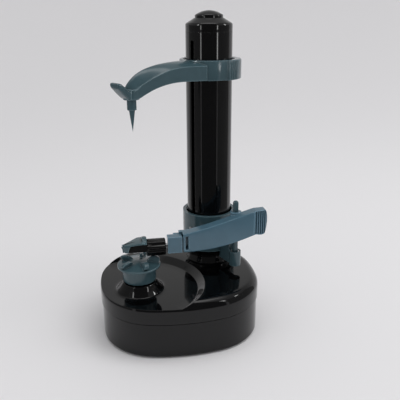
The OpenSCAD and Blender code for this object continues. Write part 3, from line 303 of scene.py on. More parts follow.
# Which finish each solid gets
FINISHES = {
    "black": "base_lower_shell base_upper_shell battery_door tower_tube tower_cap power_button "
    "cartridge_grip arm_release",
    "teal": "food_holder carriage_collar blade_guard top_arm centring_spike hinge_pin",
    # The peeling arm and its socket get the teal painted paler, as painted light
    "arm": "peel_arm head_socket",
    "steel": "base_screws plate_screws motor_screws tower_screws carriage_screws gear_axles spindle_shaft "
    "lead_screw head_pin peeler_blade release_spring spike_clip arm_spring button_spring battery_contacts",
    "brass": "motor_pinion spindle_bush lead_screw_bushes",
    "acetal": "first_gear second_gear drive_gear spindle_gear lead_screw_gear follower_nut",
    "inner": "battery_tray gear_plate dc_jack power_switch",
    "can": "motor",
    "rubber": "rubber_feet",
    "cell": "batteries",
    "wire": "wiring",
}


def finish(key):
    """The finish of that key, made once under a name that none of the frame's own materials has."""
    settings = PLASTICS.get(key) or METALS[key]
    made = bpy.data.materials.get(settings["name"])
    if made:
        return made
    colours = bpy.context.scene.peeler_colours
    if hasattr(colours, key):
        settings = {**settings, "colour": getattr(colours, key)}
    return moulded(**settings) if key in PLASTICS else metal(**settings)


def apply_finish(obj, key):
    """Gives an object that finish and no other."""
    obj.data.materials.clear()
    obj.data.materials.append(finish(key))


class PEELER_OT_finishes(bpy.types.Operator):
    """Give every solid that shows its finish"""

    bl_idname = "peeler.finishes"
    bl_label = "Finishes"

    def execute(self, context):
        for key, names in FINISHES.items():
            for name in names.split():
                apply_finish(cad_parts[name], key)
        return {"FINISHED"}


# Meshes


def faded(v):
    """Eases 0 to 1 with no slope at either end: 3 v^2 - 2 v^3, with v held between 0 and 1."""
    v = np.clip(v, 0, 1)
    return v * v * (3 - 2 * v)


def bezier(a, b, c, d, n=24):
    """Points of a cubic Bezier curve from a to d."""
    t = np.linspace(0, 1, n)[:, None]
    s = 1 - t
    a, b, c, d = (np.array(p, float) for p in (a, b, c, d))
    return a * s**3 + 3 * b * s**2 * t + 3 * c * s * t**2 + d * t**3


def rounded(corners, radii, n=6):
    """A closed line through corners, each cut by a quadratic curve that starts and ends its radius away."""
    corners = np.array(corners, float)
    t = np.linspace(0, 1, n)[:, None]
    line = []
    for i, (p, r) in enumerate(zip(corners, radii)):
        if r == 0:
            line.append(p[None])
            continue
        before, after = corners[i - 1] - p, corners[(i + 1) % len(corners)] - p
        a, b = p + before / np.linalg.norm(before) * r, p + after / np.linalg.norm(after) * r
        line.append(a * (1 - t) ** 2 + 2 * p * t * (1 - t) + b * t**2)
    return np.vstack(line)


def shrunk(line, by):
    """A closed plane line moved inwards: each point goes by the distance, square to the line's run there."""
    ahead = np.roll(line, -1, 0) - np.roll(line, 1, 0)
    length = np.linalg.norm(ahead, axis=1, keepdims=True)
    inwards = np.stack([-ahead[:, 1], ahead[:, 0]], -1) / np.maximum(length, 1e-9)
    twice_area = np.sum(line[:, 0] * np.roll(line[:, 1], -1) - np.roll(line[:, 0], -1) * line[:, 1])
    return line + inwards * by * np.sign(twice_area)


def capped(rings):
    """Rings of points, closed at both ends by a ring drawn together to its middle."""
    ends = [np.repeat(ring.mean(0)[None], len(ring), 0)[None] for ring in (rings[0], rings[-1])]
    return np.concatenate([ends[0], rings, ends[1]])


def lifted(line, z):
    """A plane line with its height or heights added."""
    return np.column_stack([line, np.broadcast_to(z, len(line))])


def slab(line, low, high, edge, n=4):
    """A plate with round edges: a closed line carried up, and shrunk by edge (1 - sin a) near both ends."""
    a = np.radians(np.linspace(0, 90, n + 1))
    levels = np.concatenate([low + edge * (1 - np.cos(a)), high - edge * (1 - np.cos(a[::-1]))])
    inset = np.concatenate([edge * (1 - np.sin(a)), edge * (1 - np.sin(a[::-1]))])
    return capped(np.array([lifted(shrunk(line, i), z) for z, i in zip(levels, inset)]))


def turned(profile, n=96, centre=(0, 0)):
    """A surface of revolution: each point (r, z) of the profile carried once around an upright axis."""
    a = np.linspace(0, TURN, n, endpoint=False)
    r, z = np.array(profile, float).T
    x, y = centre[0] + r[:, None] * np.cos(a), centre[1] + r[:, None] * np.sin(a)
    return np.stack([x, y, np.repeat(z[:, None], n, 1)], -1)


def quads(grid, first=0, closed=True):
    """The faces between a grid's points, numbered from first, whose last column joins its first if closed."""
    rows, columns = grid.shape[:2]
    at = first + np.arange(rows * columns).reshape(rows, columns)
    if closed:
        at = np.hstack([at, at[:, :1]])
    return np.stack([at[:-1, :-1], at[:-1, 1:], at[1:, 1:], at[1:, :-1]], -1).reshape(-1, 4)


def linked(name, points, faces):
    """A new object in the scene, from points in metres and faces."""
    mesh = bpy.data.meshes.new(name)
    mesh.from_pydata(points.tolist(), [], faces.tolist())
    obj = bpy.data.objects.new(name, mesh)
    bpy.context.scene.collection.objects.link(obj)
    return obj


def piece(name, grids, body, slot, stands_for, corner=32, key=None):
    """One mesh from several grids of points in millimetres, whose columns close on themselves.

    Doubles are merged, which closes the seams and the poles, and the faces are turned outwards. Edges
    that turn by more than corner, in degrees, stay sharp.
    """
    same = 2e-6
    starts = np.cumsum([0] + [grid[..., 0].size for grid in grids])
    points = np.concatenate([grid.reshape(-1, 3) * MM for grid in grids])
    obj = linked(name, points, np.concatenate([quads(grid, first) for grid, first in zip(grids, starts)]))
    work = bmesh.new()
    work.from_mesh(obj.data)
    bmesh.ops.remove_doubles(work, verts=work.verts, dist=same)
    bmesh.ops.dissolve_degenerate(work, edges=work.edges, dist=same)
    bmesh.ops.recalc_face_normals(work, faces=work.faces)
    work.to_mesh(obj.data)
    work.free()
    obj.data.shade_smooth()
    obj.data.set_sharp_from_angle(angle=math.radians(corner))
    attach(obj, body)
    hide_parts(*stands_for)
    apply_finish(obj, key or slot.split("_")[0])


# Places and sizes shared by the pieces, in millimetres

BASE = np.array([147.0, 127.0])
# The plan's corners, and how far its ends and sides swell
CORNER, END_BULGE, SIDE_BULGE = 53.0, 0.5, 2.0
# Heights of the seam, the deck and the recess's floor, and the radius of the deck's edge
SEAM, DECK, RECESS, EDGE = 33.0, 53.0, 48.0, 8.0
# The recess's middle, and the radii between which it slopes up to the deck
DISH, DISH_LOW, DISH_HIGH = np.array([-44.0, -19.0]), 58.0, 65.0
# The upright axes of the food holder, the column and the arm's hinge, and the blade head's axis as y and z
SPINDLE = np.array([-38.0, -18.0])
COLUMN, COLUMN_R = np.array([35.5, 33.5]), 21.0
HINGE = np.array([52.0, -9.7])
HEAD = np.array([-17.0, 87.0])
# The peeling arm's faces, and the top arm's lower face and its run from the column to the holder's axis
ARM_FRONT, ARM_BACK = -22.5, -11.5
TOP = 228.0
REACH = float(np.linalg.norm(SPINDLE - COLUMN))
ALONG = (SPINDLE - COLUMN) / REACH


def base_outline(step=1.2):
    """The base's plan and its outward directions: eight arcs, each its centre + radius x direction."""
    cx, cy = BASE / 2 - CORNER - np.array([END_BULGE, SIDE_BULGE])
    end_r = cy**2 / (2 * END_BULGE) + END_BULGE / 2 + CORNER
    side_r = cx**2 / (2 * SIDE_BULGE) + SIDE_BULGE / 2 + CORNER
    end_c, side_c = BASE[0] / 2 - end_r, BASE[1] / 2 - side_r
    end_a, side_a = math.atan2(cy, cx - end_c), math.atan2(cy - side_c, cx)
    half = math.pi
    arcs = [
        ((end_c, 0), end_r, -end_a, end_a),
        ((cx, cy), CORNER, end_a, side_a),
        ((0, side_c), side_r, side_a, half - side_a),
        ((-cx, cy), CORNER, half - side_a, half - end_a),
        ((-end_c, 0), end_r, half - end_a, half + end_a),
        ((-cx, -cy), CORNER, half + end_a, half + side_a),
        ((0, -side_c), side_r, half + side_a, TURN - side_a),
        ((cx, -cy), CORNER, TURN - side_a, TURN - end_a),
    ]
    points, ways = [], []
    for centre, radius, start, stop in arcs:
        a = np.linspace(start, stop, max(4, int(radius * (stop - start) / step)), endpoint=False)
        way = np.column_stack([np.cos(a), np.sin(a)])
        points.append(np.array(centre) + radius * way)
        ways.append(way)
    return np.vstack(points), np.vstack(ways)


def dish_ramp(s):
    """A straight slope from 0 to 1 with short round ends, each a tenth of it."""
    w = 0.10
    s = np.clip(s, 0, 1)
    ends = np.where(s < w, s * s / (2 * w), 1 - w - (1 - s) ** 2 / (2 * w))
    return np.where((s >= w) & (s <= 1 - w), s - w / 2, ends) / (1 - w)


def top_height(p):
    """Height of the deck: the recess's floor within its circle, a slope around it, and the deck outside."""
    d = np.linalg.norm(p - DISH, axis=-1)
    return RECESS + (DECK - RECESS) * dish_ramp((d - DISH_LOW) / (DISH_HIGH - DISH_LOW))


class PEELER_OT_deck(bpy.types.Operator):
    """Make the base's upper shell, with its round recess, the pedestal and the column's foot"""

    bl_idname = "peeler.deck"
    bl_label = "Deck"

    def execute(self, context):
        line, way = base_outline()
        count = len(line)
        # The wall rises, and turns in on the edge's arc until it meets the deck or the recess
        turn = np.radians(np.linspace(0, 90, 181))
        inset, rise = EDGE * (1 - np.cos(turn)), DECK - EDGE + EDGE * np.sin(turn)
        met = rise >= top_height(line[:, None] - inset[:, None] * way[:, None]) - 1e-6
        a = turn[np.argmax(met, axis=1)] * np.linspace(0, 1, 10)[:, None]
        # Under that arc, as insets and heights, the lip that makes the seam and then the upright wall
        lip = np.array(
            [
                (1.8, SEAM - 0.2), (1.4, SEAM + 0.6), (0.3, SEAM + 0.75),
                (0, SEAM + 1.1), (0, SEAM + 4), (0, DECK - EDGE - 2),
            ]
        )
        inset = np.vstack([np.repeat(lip[:, :1], count, 1), EDGE * (1 - np.cos(a))])
        z = np.vstack([np.repeat(lip[:, 1:], count, 1), DECK - EDGE + EDGE * np.sin(a)])
        wall = np.concatenate([line - inset[..., None] * way, z[..., None]], -1)

        # From there rays run in to the holder's axis; rows sit on the slope's circles so its edges stay crisp
        foot_r = 24.5
        edge = wall[-1, :, :2]
        far = np.linalg.norm(edge - SPINDLE, axis=1)
        ray = (edge - SPINDLE) / far[:, None]
        off = SPINDLE - DISH
        along = ray @ off
        share = np.array([1, 0.97, 0.93, 0.88, 0.7, 0.5, 0.3, 0.12, 0.07, 0.03, 0])
        circles = DISH_LOW + (DISH_HIGH - DISH_LOW) * share
        cut = -along[None] + np.sqrt(along[None] ** 2 - off @ off + circles[:, None] ** 2)
        outside = cut[0] + np.array([0.66, 0.33])[:, None] * np.maximum(far - cut[0], 0)
        inside = np.repeat(np.array([45, 38, 32, 27, foot_r])[:, None], count, 1)
        run = np.minimum(np.vstack([outside, cut, inside]), far)
        flat = SPINDLE + run[..., None] * ray
        top = np.concatenate([flat, top_height(flat)[..., None]], -1)

        # The pedestal's cone grows out of the recess's floor on a hollow curve, and its top edge is round
        cone_top, hole_r = 56.5, 6.05
        foot = bezier((foot_r, RECESS), (21.6, RECESS), (20.9, RECESS + 0.5), (20.2, RECESS + 1.6), 6)
        head = bezier((15.9, 55.0), (15.4, 55.9), (15.0, cone_top), (14.2, cone_top), 5)
        cone = np.vstack([foot, [[18.0, 51.6]], head, [[10, cone_top], [hole_r, cone_top]]])
        cone = np.concatenate([SPINDLE + cone[:, :1, None] * ray, np.repeat(cone[:, 1:, None], count, 1)], -1)

        # The column stands in a foot that flares out over the deck
        flare_r, lip_r, flare_top = COLUMN_R + 2.2, COLUMN_R - 1.4, DECK + 7
        sweep = (flare_r, DECK), (COLUMN_R + 1.9, DECK + 1.4), (COLUMN_R, DECK + 3.5), (COLUMN_R, flare_top)
        flare = np.vstack(
            [
                [[flare_r, RECESS - 1.5], [flare_r, DECK - 0.5]],
                bezier(*sweep, 10),
                [[lip_r, flare_top], [lip_r, DECK + 2]],
            ]
        )
        grids = [np.concatenate([wall, top[:-1], cone]), turned(flare, 128, COLUMN)]
        piece("deck_moulding", grids, "base", "black_plastic", ["base_upper_shell"], corner=24)
        return {"FINISHED"}


class PEELER_OT_cap(bpy.types.Operator):
    """Make the column's cap and the domed button on it"""

    bl_idname = "peeler.cap"
    bl_label = "Cap and button"

    def execute(self, context):
        # Profiles from the column's upper end, as radius and height
        z = 268.2
        cap = np.vstack(
            [
                [[15, z - 4], [20.4, z - 0.1], [20.8, z + 0.02], [20.95, z + 0.1]],
                [[21, z + 0.25], [21, z + 5.2]],
                bezier((21, z + 5.6), (21, z + 6.8), (20.2, z + 7.5), (19.2, z + 8.0), 8),
                [[16.2, z + 9.8], [13.5, z + 11.35]],
                bezier((13.3, z + 11.5), (13.0, z + 11.7), (12.82, z + 11.6), (12.8, z + 11.3), 5),
                [[12.8, z + 7.8], [15, z + 7.8], [15, z - 4]],
            ]
        )
        piece("column_cap", [turned(cap, 128, COLUMN)], "base", "black_plastic", ["tower_cap"])
        z = z + 11.7
        button = np.vstack(
            [
                [[0, z - 4.3], [12.5, z - 4.3], [12.5, z + 1.5]],
                bezier((12.5, z + 1.7), (12.5, z + 2.5), (12.0, z + 2.7), (11.4, z + 3.1), 6),
                bezier((11.0, z + 3.3), (7.6, z + 5.2), (4.0, z + 6.3), (0, z + 6.3), 14),
            ]
        )
        piece("power_dome", [turned(button, 128, COLUMN)], "button", "black_plastic", ["power_button"])
        return {"FINISHED"}


def tooth(turn):
    """One tooth of the holder: a thick leaf whose outline rises to a broad round top and overhangs the rim.

    Across its thickness y = half x tanh(2.2 sin v), flat with round edges, and it bends to one side as
    it rises.
    """
    rim, square, edge = 71.2, 2.2, 0.7
    # The outline, as distance from the holder's axis and height over the rim
    line = np.vstack(
        [
            bezier((4.6, 0.2), (6.4, 2.6), (7.6, 5.4), (10.4, 6.8), 12),
            bezier((11.2, 7.2), (13.2, 7.6), (15.6, 7.3), (17.2, 6.2), 10),
            bezier((17.8, 5.8), (18.9, 4.8), (19.0, 3.6), (18.1, 2.7), 8),
            bezier((17.6, 2.2), (17.0, 1.6), (16.6, 1.0), (16.4, -0.4), 6),
            [[10, -0.6]],
        ]
    )
    v = np.radians(np.linspace(-90, 90, 13))[:, None]
    flat = np.stack([shrunk(line, by) for by in edge * (1 - np.cos(v[:, 0]))])
    x, z = flat[..., 0], flat[..., 1]
    bend = 0.045 * np.clip(z, 0, 8) ** 2 * faded((x - 5) / 8)
    half = 1.4 + 0.4 * faded((x - 6) / 10)
    y = half * np.tanh(square * np.sin(v)) / math.tanh(square) + bend
    x, y, z = np.moveaxis(capped(np.stack([x, y, rim + z], -1)), -1, 0)
    c, s = math.cos(turn), math.sin(turn)
    return np.stack([SPINDLE[0] + c * x - s * y, SPINDLE[1] + s * x + c * y, z], -1)


class PEELER_OT_holder(bpy.types.Operator):
    """Make the food holder: a cup under a domed rim, with a ring of leaning teeth"""

    bl_idname = "peeler.holder"
    bl_label = "Food holder"

    def execute(self, context):
        # The cup's profile, as radius and height, with its foot at z
        z, wall, rim = 57.4, 15, 19.2
        cup = np.vstack(
            [
                [[0, z], [13.2, z]],
                bezier((13.6, z), (14.6, z + 0.1), (wall, z + 0.6), (wall, z + 1.8), 6),
                [[wall, z + 6], [wall, z + 12.6]],
                bezier((wall, z + 12.8), (15.05, z + 13.1), (15.2, z + 13.2), (15.5, z + 13.2), 4),
                [[18.4, z + 13.2]],
                bezier((18.6, z + 13.2), (19.0, z + 13.25), (rim, z + 13.5), (rim, z + 13.8), 5),
                [[rim, z + 14.5]],
                bezier((rim, z + 14.6), (rim, z + 15.1), (18.8, z + 15.3), (18.2, z + 15.25), 6),
                bezier((17.0, z + 15.4), (13, z + 15.9), (9, z + 17.4), (0, z + 18.2), 14),
            ]
        )
        count = context.scene.peeler_sizes.teeth
        teeth = [tooth(math.radians(360 / count * i - 3)) for i in range(count)]
        grids = [turned(cup, 144, SPINDLE), *teeth]
        piece("holder_cup", grids, "spindle", "teal_plastic", ["food_holder"], corner=40)
        return {"FINISHED"}


class PEELER_OT_peeling_arm(bpy.types.Operator):
    """Make the long arm that carries the blade, with its ribbed finger grip and its hinge barrel"""

    bl_idname = "peeler.peeling_arm"
    bl_label = "Peeling arm"

    def execute(self, context):
        # The arm's upper and lower edges, as x and z
        top = np.vstack(
            [
                bezier((2, 98.9), (28, 103.4), (50, 111.6), (68, 116.3), 60),
                [[74, 116.4], [76.4, 116.3]],
                bezier((77, 116.2), (78.4, 115.6), (79.0, 113.5), (79.6, 108.0), 8),
            ]
        )
        low = np.vstack(
            [
                bezier((2, 81.5), (28, 81.2), (48, 86), (68, 93.6), 60),
                bezier((69, 93.6), (72, 92.6), (75.5, 92.4), (77, 93.6), 10),
                bezier((77.2, 94.0), (78.3, 96.4), (79.0, 99.5), (79.6, 105.0), 8),
            ]
        )
        slot_x, slot_z, slot_depth = (3.7, 6.4), (84.3, 96.8), 5.5
        grip_x, grip_depth, rib_pitch, rib_depth = (66.4, 78.4), 0.45, 2.1, 1.4
        # Stations along the arm, with a close pair at each sharp step
        pair = np.array([-0.06, 0.06])
        steps = np.concatenate([slot_x[0] + pair, slot_x[1] + pair, grip_x[0] + pair])
        x = np.unique(np.concatenate([np.linspace(2, 66, 60), steps, np.linspace(67, 79.6, 90)]))
        high, deep = np.interp(x, *top.T), np.interp(x, *low.T)
        # The section is a rectangle with round corners, drawn from a superellipse's angle
        v = np.linspace(0, TURN, 120, endpoint=False)
        sy, sz = (np.sign(w) * np.abs(w) ** 0.14 for w in (np.cos(v), np.sin(v)))
        end = np.interp(x, [2, 2.6, 77.5, 79.6], [0.5, 0, 0, 1.4])
        back = 3.2 * np.clip((x - grip_x[0]) / 13, 0, 1) ** 2
        front, rear = ARM_FRONT + end + back, ARM_BACK - end + back * 0.4
        y = (front + rear)[:, None] / 2 + (rear - front)[:, None] / 2 * sy
        z = (high + deep)[:, None] / 2 + (high - deep)[:, None] / 2 * sz
        # Upright ribs on the finger grip, set below the face of the arm, and one slot near the blade end
        past = x - grip_x[0] - 0.9
        wave = (0.5 - 0.5 * np.cos(TURN * past / rib_pitch)) ** 2
        rib = np.where((x > grip_x[0] + 0.9) & (x < grip_x[1]), wave, 0)
        step = grip_depth * ((x > grip_x[0]) & (x < grip_x[1] + 1.2))
        tall = (high - deep)[:, None] / 2 * (1 - np.abs(sz))
        y = y + faded((-sy - 0.75) * 5) * (step[:, None] + rib_depth * rib[:, None]) * faded(tall / 1.2)
        in_slot = ((x > slot_x[0]) & (x < slot_x[1]))[:, None] * ((z > slot_z[0]) & (z < slot_z[1]))
        y = y + slot_depth * (in_slot * (sy < -0.75))
        body = capped(np.stack([np.repeat(x[:, None], len(v), 1), y, z], -1))
        bore, low, high = 2.6, 86, 113
        barrel = [[bore, low], [4.9, low], [5.3, low + 0.15], [5.4, low + 0.5]]
        barrel += [[5.4, high - 0.6], [5.3, high - 0.15], [4.9, high], [bore, high], [bore, low]]
        barrel = turned(barrel, 64, HINGE)
        # Two blocks step down from the arm's end to the blade head's socket
        block = rounded([[-1, -13.5], [10, -13.5], [10, -9.5], [-1, -9.5]], [0.5] * 4)
        rear_step = rounded([[-6, -12.5], [0, -12.5], [0, -9.5], [-6, -9.5]], [0.5] * 4)
        grids = [body, barrel, slab(block, 84, 98.5, 0.4), slab(rear_step, 84, 96.2, 0.4)]
        # The arm's finish is the grey-teal painted paler, as painted light
        piece("peeling_arm", grids, "arm", "teal_plastic", ["peel_arm"], corner=30, key="arm")
        return {"FINISHED"}


def on_axis(grid):
    """Turns a grid made about the upright axis so that its height runs along x, on the blade head's axis."""
    return np.stack([grid[..., 2], HEAD[0] + grid[..., 0], HEAD[1] + grid[..., 1]], -1)


class PEELER_OT_blade_head(bpy.types.Operator):
    """Make the fluted grip, the black core that holds the blade, and the guard over it"""

    bl_idname = "peeler.blade_head"
    bl_label = "Blade head"

    def execute(self, context):
        # The grip's rings, as place along it, radius, and how much of the flutes' depth each takes
        start, stop = -30.6, -13.8
        rings = np.array(
            [
                (start, 3, 0), (start, 6.6, 0), (start + 0.15, 7.3, 0), (start + 0.5, 7.7, 0),
                (start + 1.1, 7.8, 0.5), (start + 1.6, 7.8, 1), (stop - 1.2, 7.8, 1), (stop - 0.5, 7.75, 1),
                (stop - 0.15, 7.4, 1), (stop, 6.9, 0.8), (stop, 2.6, 0),
            ]
        )
        flutes = context.scene.peeler_sizes.flutes
        a = np.linspace(0, TURN, flutes * 24, endpoint=False)
        groove = 0.85 * (0.5 + 0.5 * np.cos(a * flutes)) ** 1.3
        r = rings[:, 1:2] - rings[:, 2:] * groove
        grip = np.stack([r * np.cos(a), r * np.sin(a), np.repeat(rings[:, :1], len(a), 1)], -1)
        grip = capped(on_axis(grip))
        piece("blade_grip", [grip], "blade_head", "black_plastic", ["cartridge_grip"], corner=40)
        half = 6.9
        core = [[-48.5, -half], [-30.4, -half], [-30.4, half], [-38.2, half], [-48.5, -3]]
        core = slab(rounded(core, [1.2, 0, 0, 1.0, 1.0]) + np.array([0, HEAD[0]]), 85.6, 92.9, 0.5)
        piece("blade_core", [core], "blade_head", "black_plastic", ["cartridge_grip"], corner=40, key="core")

        # The guard: a roof over the core that falls to its far end, where the nose rounds over like a hook
        brow, brow_edge, thick, lining_top = 93.3, 1.2, 1.5, 92.9
        plan = rounded(
            [[-51.5, -8], [-30.6, -8], [-30.6, 8], [-38.9, 8], [-49.6, -1.8], [-51.5, -5]],
            [2.4, 0.4, 0.6, 1.5, 1.5, 1.2],
            10,
        )
        plan = np.vstack([plan, plan[:1]])
        t = np.concatenate([[0], np.cumsum(np.linalg.norm(np.diff(plan, axis=0), axis=1))])
        u = np.linspace(0, t[-1], 360, endpoint=False)
        plan = np.column_stack([np.interp(u, t, plan[:, 0]), np.interp(u, t, plan[:, 1])])
        # Its front wall is cut away up to the roof, except at the nose
        low = 86.2 + 6.8 * (faded((plan[:, 0] + 47.4) / 2.4) * (plan[:, 1] < -5.5))
        walls = np.stack([lifted(plan, low + (brow - low) * s) for s in np.linspace(0, 1, 6)[:-1]])
        a = np.radians(np.linspace(0, 90, 7))
        arc = np.stack([brow_edge * (1 - np.cos(a)), brow + brow_edge * np.sin(a)], -1)
        roof = np.stack([lifted(shrunk(plan, inset), z) for inset, z in arc])
        lining = shrunk(plan, thick)
        inner = np.stack([lifted(lining, low + (lining_top - low) * k) for k in (1, 0.5, 0)])
        shell = np.concatenate([capped(inner)[:-1], walls, capped(roof)[1:]])
        # The roof falls to the far end, and the nose's lower edge is drawn back
        fall = faded((-34 - shell[..., 0]) / 17)
        high = faded((shell[..., 2] - 88) / 5)
        shell[..., 2] -= 1.1 * fall * high
        nose = faded((-47 - shell[..., 0]) / 4.5) * (1 - high)
        shell[..., 0] += 1.2 * nose
        shell[..., 1] += HEAD[0]
        # A ridge stands up where the guard clips over the grip
        a = np.radians(np.linspace(40, 140, 32))
        over = np.column_stack([10.2 * np.cos(a), 10.2 * np.sin(a)])
        under = np.column_stack([8.0 * np.cos(a[::-1]), np.full(len(a), 6.6)])
        ridge = slab(np.vstack([over, under]), -34.9, -30.5, 1.0, 6)
        piece("guard_hood", [shell, on_axis(ridge)], "blade_head", "teal_plastic", ["blade_guard"], corner=35)
        return {"FINISHED"}


def on_arm(grid):
    """Places a grid whose first two coordinates run along and across the top arm, from the column's axis."""
    across = np.array([-ALONG[1], ALONG[0]])
    flat = COLUMN + grid[..., :1] * ALONG + grid[..., 1:2] * across
    return np.concatenate([flat, grid[..., 2:]], -1)


def on_ring(r, angle, z):
    """A closed loop (r, z) carried round the column's axis over those angles, with both its ends closed."""
    x, y = COLUMN[0] + r * np.cos(angle), COLUMN[1] + r * np.sin(angle)
    return capped(np.stack([x, y, np.broadcast_to(z, r.shape)], -1))


def top_beam(nose_r=6.6):
    """The top arm's beam, from a section swept along it.

    Across the arm: a flat underside, upright faces with a chamfered brim, and a roof that swells to its
    crest by 1 - |w|^1.7. Its nose is half a circle round the spike's axis.
    """
    # Lines along the arm, as distance from the column's axis and height, and its half width
    curve = bezier((34, 228.8), (52, 229.8), (66, 229.3), (85.5, 219.4), 40)
    low = np.vstack([[[19, 228.4]], curve, [[96.5, 219.2]]])
    crest = np.vstack(
        [
            bezier((17, 245.2), (40, 245.3), (69, 246.2), (85.5, 237.2), 50),
            bezier((86.3, 236.7), (90.5, 234), (94.5, 230.6), (96.4, 226.5), 16),
        ]
    )
    brim = np.array(
        [
            (17, 240.9), (27, 241.5), (39, 241.7), (48.7, 241.2), (58, 239.9), (65, 237.7),
            (73.5, 234.7), (82.3, 230.8), (88.5, 227.2), (93, 224.2), (96.5, 222.5),
        ]
    )
    half = np.array(
        [(20.4, 17.9), (30, 15.7), (40, 13.9), (57, 11.2), (68, 9.4), (79, 7.7), (84, 6.9), (89.75, nose_r)]
    )
    nose = REACH + nose_r * np.sin(np.radians(np.linspace(0, 86, 18)))
    d = np.concatenate([np.linspace(20.4, 88, 90), nose])
    round_end = np.sqrt(np.maximum(nose_r**2 - (d - REACH) ** 2, 0.01))
    wide = np.where(d > REACH, round_end, np.interp(d, *half.T))[:, None]
    z0, z1, z2 = (np.interp(d, *line.T) for line in (low, crest, brim))
    z2 = np.convolve(np.pad(z2, 3, mode="edge"), np.ones(7) / 7, "valid")
    z2 = np.clip(z2, z0 + 0.9, np.maximum(z1 - 0.3, z0 + 0.9))[:, None]
    z0, z1 = z0[:, None], np.maximum(z1[:, None], z2 + 0.1)
    w, up, across = np.linspace(-1, 1, 27), np.linspace(0, 1, 6), np.linspace(1, -1, 9)
    chamfer = np.minimum(0.6, wide * 0.2)
    left = np.stack([np.repeat(-wide, len(up), 1), z0 + 0.25 + (z2 - z0 - 0.7) * up], -1)
    roof = np.stack([w * (wide - chamfer), z2 + (z1 - z2) * (1 - np.abs(w) ** 1.7)], -1)
    floor = np.stack([across * (wide - 0.3), np.repeat(z0, len(across), 1)], -1)
    section = np.concatenate([left, roof, left[:, ::-1] * [-1, 1], floor], 1)
    return capped(np.concatenate([np.broadcast_to(d[:, None, None], (*section.shape[:2], 1)), section], -1))


def clamp_ring():
    """The ring round the column, its angles measured from the middle of its thick back part.

    The back part has four fine grooves near each end, each a bell exp(-x^2). The release button's window
    is left open between the ring's ends, wider inside for its flange, and bridged above and below it.
    """
    degree = math.radians(1)
    turn = math.atan2(-ALONG[1], -ALONG[0])
    inner, back, base, top, e = 23.2, 29.2, TOP, TOP + 17.2, 0.8
    middle, flange_r = (top + base) / 2, 26.4
    # Half widths of the window at the button and at its flange, and its half heights there
    button_gap, flange_gap, window, pocket = 6.3, 7.8, 4.3, 5.8
    a = np.linspace(math.radians(17.5), TURN - math.radians(17.5), 700)
    off = np.minimum(a, TURN - a)
    outer = back - 2.6 + 2.6 * faded((math.radians(100) - off) / math.radians(3.5))
    for place in (94, 89, 84, 79):
        outer = outer - 0.7 * np.exp(-(((off - math.radians(place)) / degree) ** 2))
    step = np.minimum(flange_r, outer - e - 0.1)
    # The loop's corners: the outer face as insets and heights, then the bore's lips
    outside = [(e, base), (0.23, base + 0.23), (0, base + e), (0, top - e), (0.23, top - 0.23), (e, top)]
    lip = [(0.5, top), (0.1, top - 0.15), (0, top - 0.5)]
    inside = lip + [(r, base + top - z) for r, z in lip[::-1]]
    r = [outer - inset for inset, _ in outside] + [step + 0.02, step - 0.02]
    r = np.stack(r + [np.full_like(a, inner + more) for more, _ in inside] + [step - 0.02, step + 0.02], -1)
    z = np.array([z for _, z in outside] + [top, top] + [z for _, z in inside] + [base, base])
    angle = np.repeat(a[:, None], len(z), 1)
    angle[0] = np.arcsin(np.where(r[0] > flange_r, button_gap, flange_gap) / r[0])
    angle[-1] = TURN - angle[0]
    ring = on_ring(r, angle + turn, z)
    # One bridge over the window, and the same upside down under it
    bridge = [(back, middle + window)] + [(back - inset, z) for inset, z in outside[3:]]
    bridge += [(inner + more, z) for more, z in lip]
    bridge += [(inner, middle + pocket), (flange_r, middle + pocket), (flange_r, middle + window)]
    r, z = np.array(bridge).T
    angle = np.linspace(-1, 1, 9)[:, None] * np.arcsin((flange_gap + 0.1) / r) + turn
    r = np.broadcast_to(r, angle.shape)
    return [ring, on_ring(r, angle, z), on_ring(r, angle, top + base - z)]


class PEELER_OT_top_arm(bpy.types.Operator):
    """Make the top arm: its clamp ring, the curved beam, the spike's boss and the lifting tab"""

    bl_idname = "peeler.top_arm"
    bl_label = "Top arm"

    def execute(self, context):
        boss = np.vstack(
            [
                [[2.55, 218.3], [6.0, 218.3]],
                bezier((6.3, 218.3), (6.7, 218.4), (6.8, 218.6), (6.8, 219.1), 4),
                [[6.8, 226.4], [3.7, 226.5], [3.7, 223.5], [2.55, 223.5], [2.55, 218.3]],
            ]
        )
        boss = turned(boss, 64, (REACH, 0))
        # The tab's side view, as distance past the spike's axis and height
        tab = np.vstack(
            [
                [[3, 218.6]],
                bezier((5.6, 218.9), (9.4, 221.4), (12.6, 225.0), (15.6, 228.2), 12),
                bezier((16.6, 229.6), (17.6, 232.2), (16.0, 233.4), (13.6, 232.4), 9),
                bezier((12.6, 232.0), (10.6, 230.4), (8.4, 228.6), (6.2, 227.4), 10),
                [[3, 226.6]],
            ]
        )
        tab = slab(tab + [REACH, 0], -5.5, 5.5, 1.5, 6)[..., [0, 2, 1]]
        grids = [on_arm(top_beam()), *clamp_ring(), on_arm(boss), on_arm(tab)]
        piece("top_arm_moulding", grids, "clamp", "teal_plastic", ["top_arm"], corner=28)
        return {"FINISHED"}


# Studio, in metres


def camera_matrix():
    """Where the camera stands and how it is turned: azimuth, angle down and roll."""
    azimuth, down, roll = (math.radians(v) for v in (-9.84, 19.15, 0.31))
    place = np.array([-59.75, -464.51, 286.22]) * MM
    level = math.cos(down)
    ahead = np.array([-math.sin(azimuth) * level, math.cos(azimuth) * level, -math.sin(down)])
    right = np.array([math.cos(azimuth), math.sin(azimuth), 0])
    above = np.cross(right, ahead)
    turn = np.eye(4)
    turn[:3, 0] = right * math.cos(roll) - above * math.sin(roll)
    turn[:3, 1] = above * math.cos(roll) + right * math.sin(roll)
    turn[:3, 2], turn[:3, 3] = -ahead, place
    return Matrix(turn.tolist())


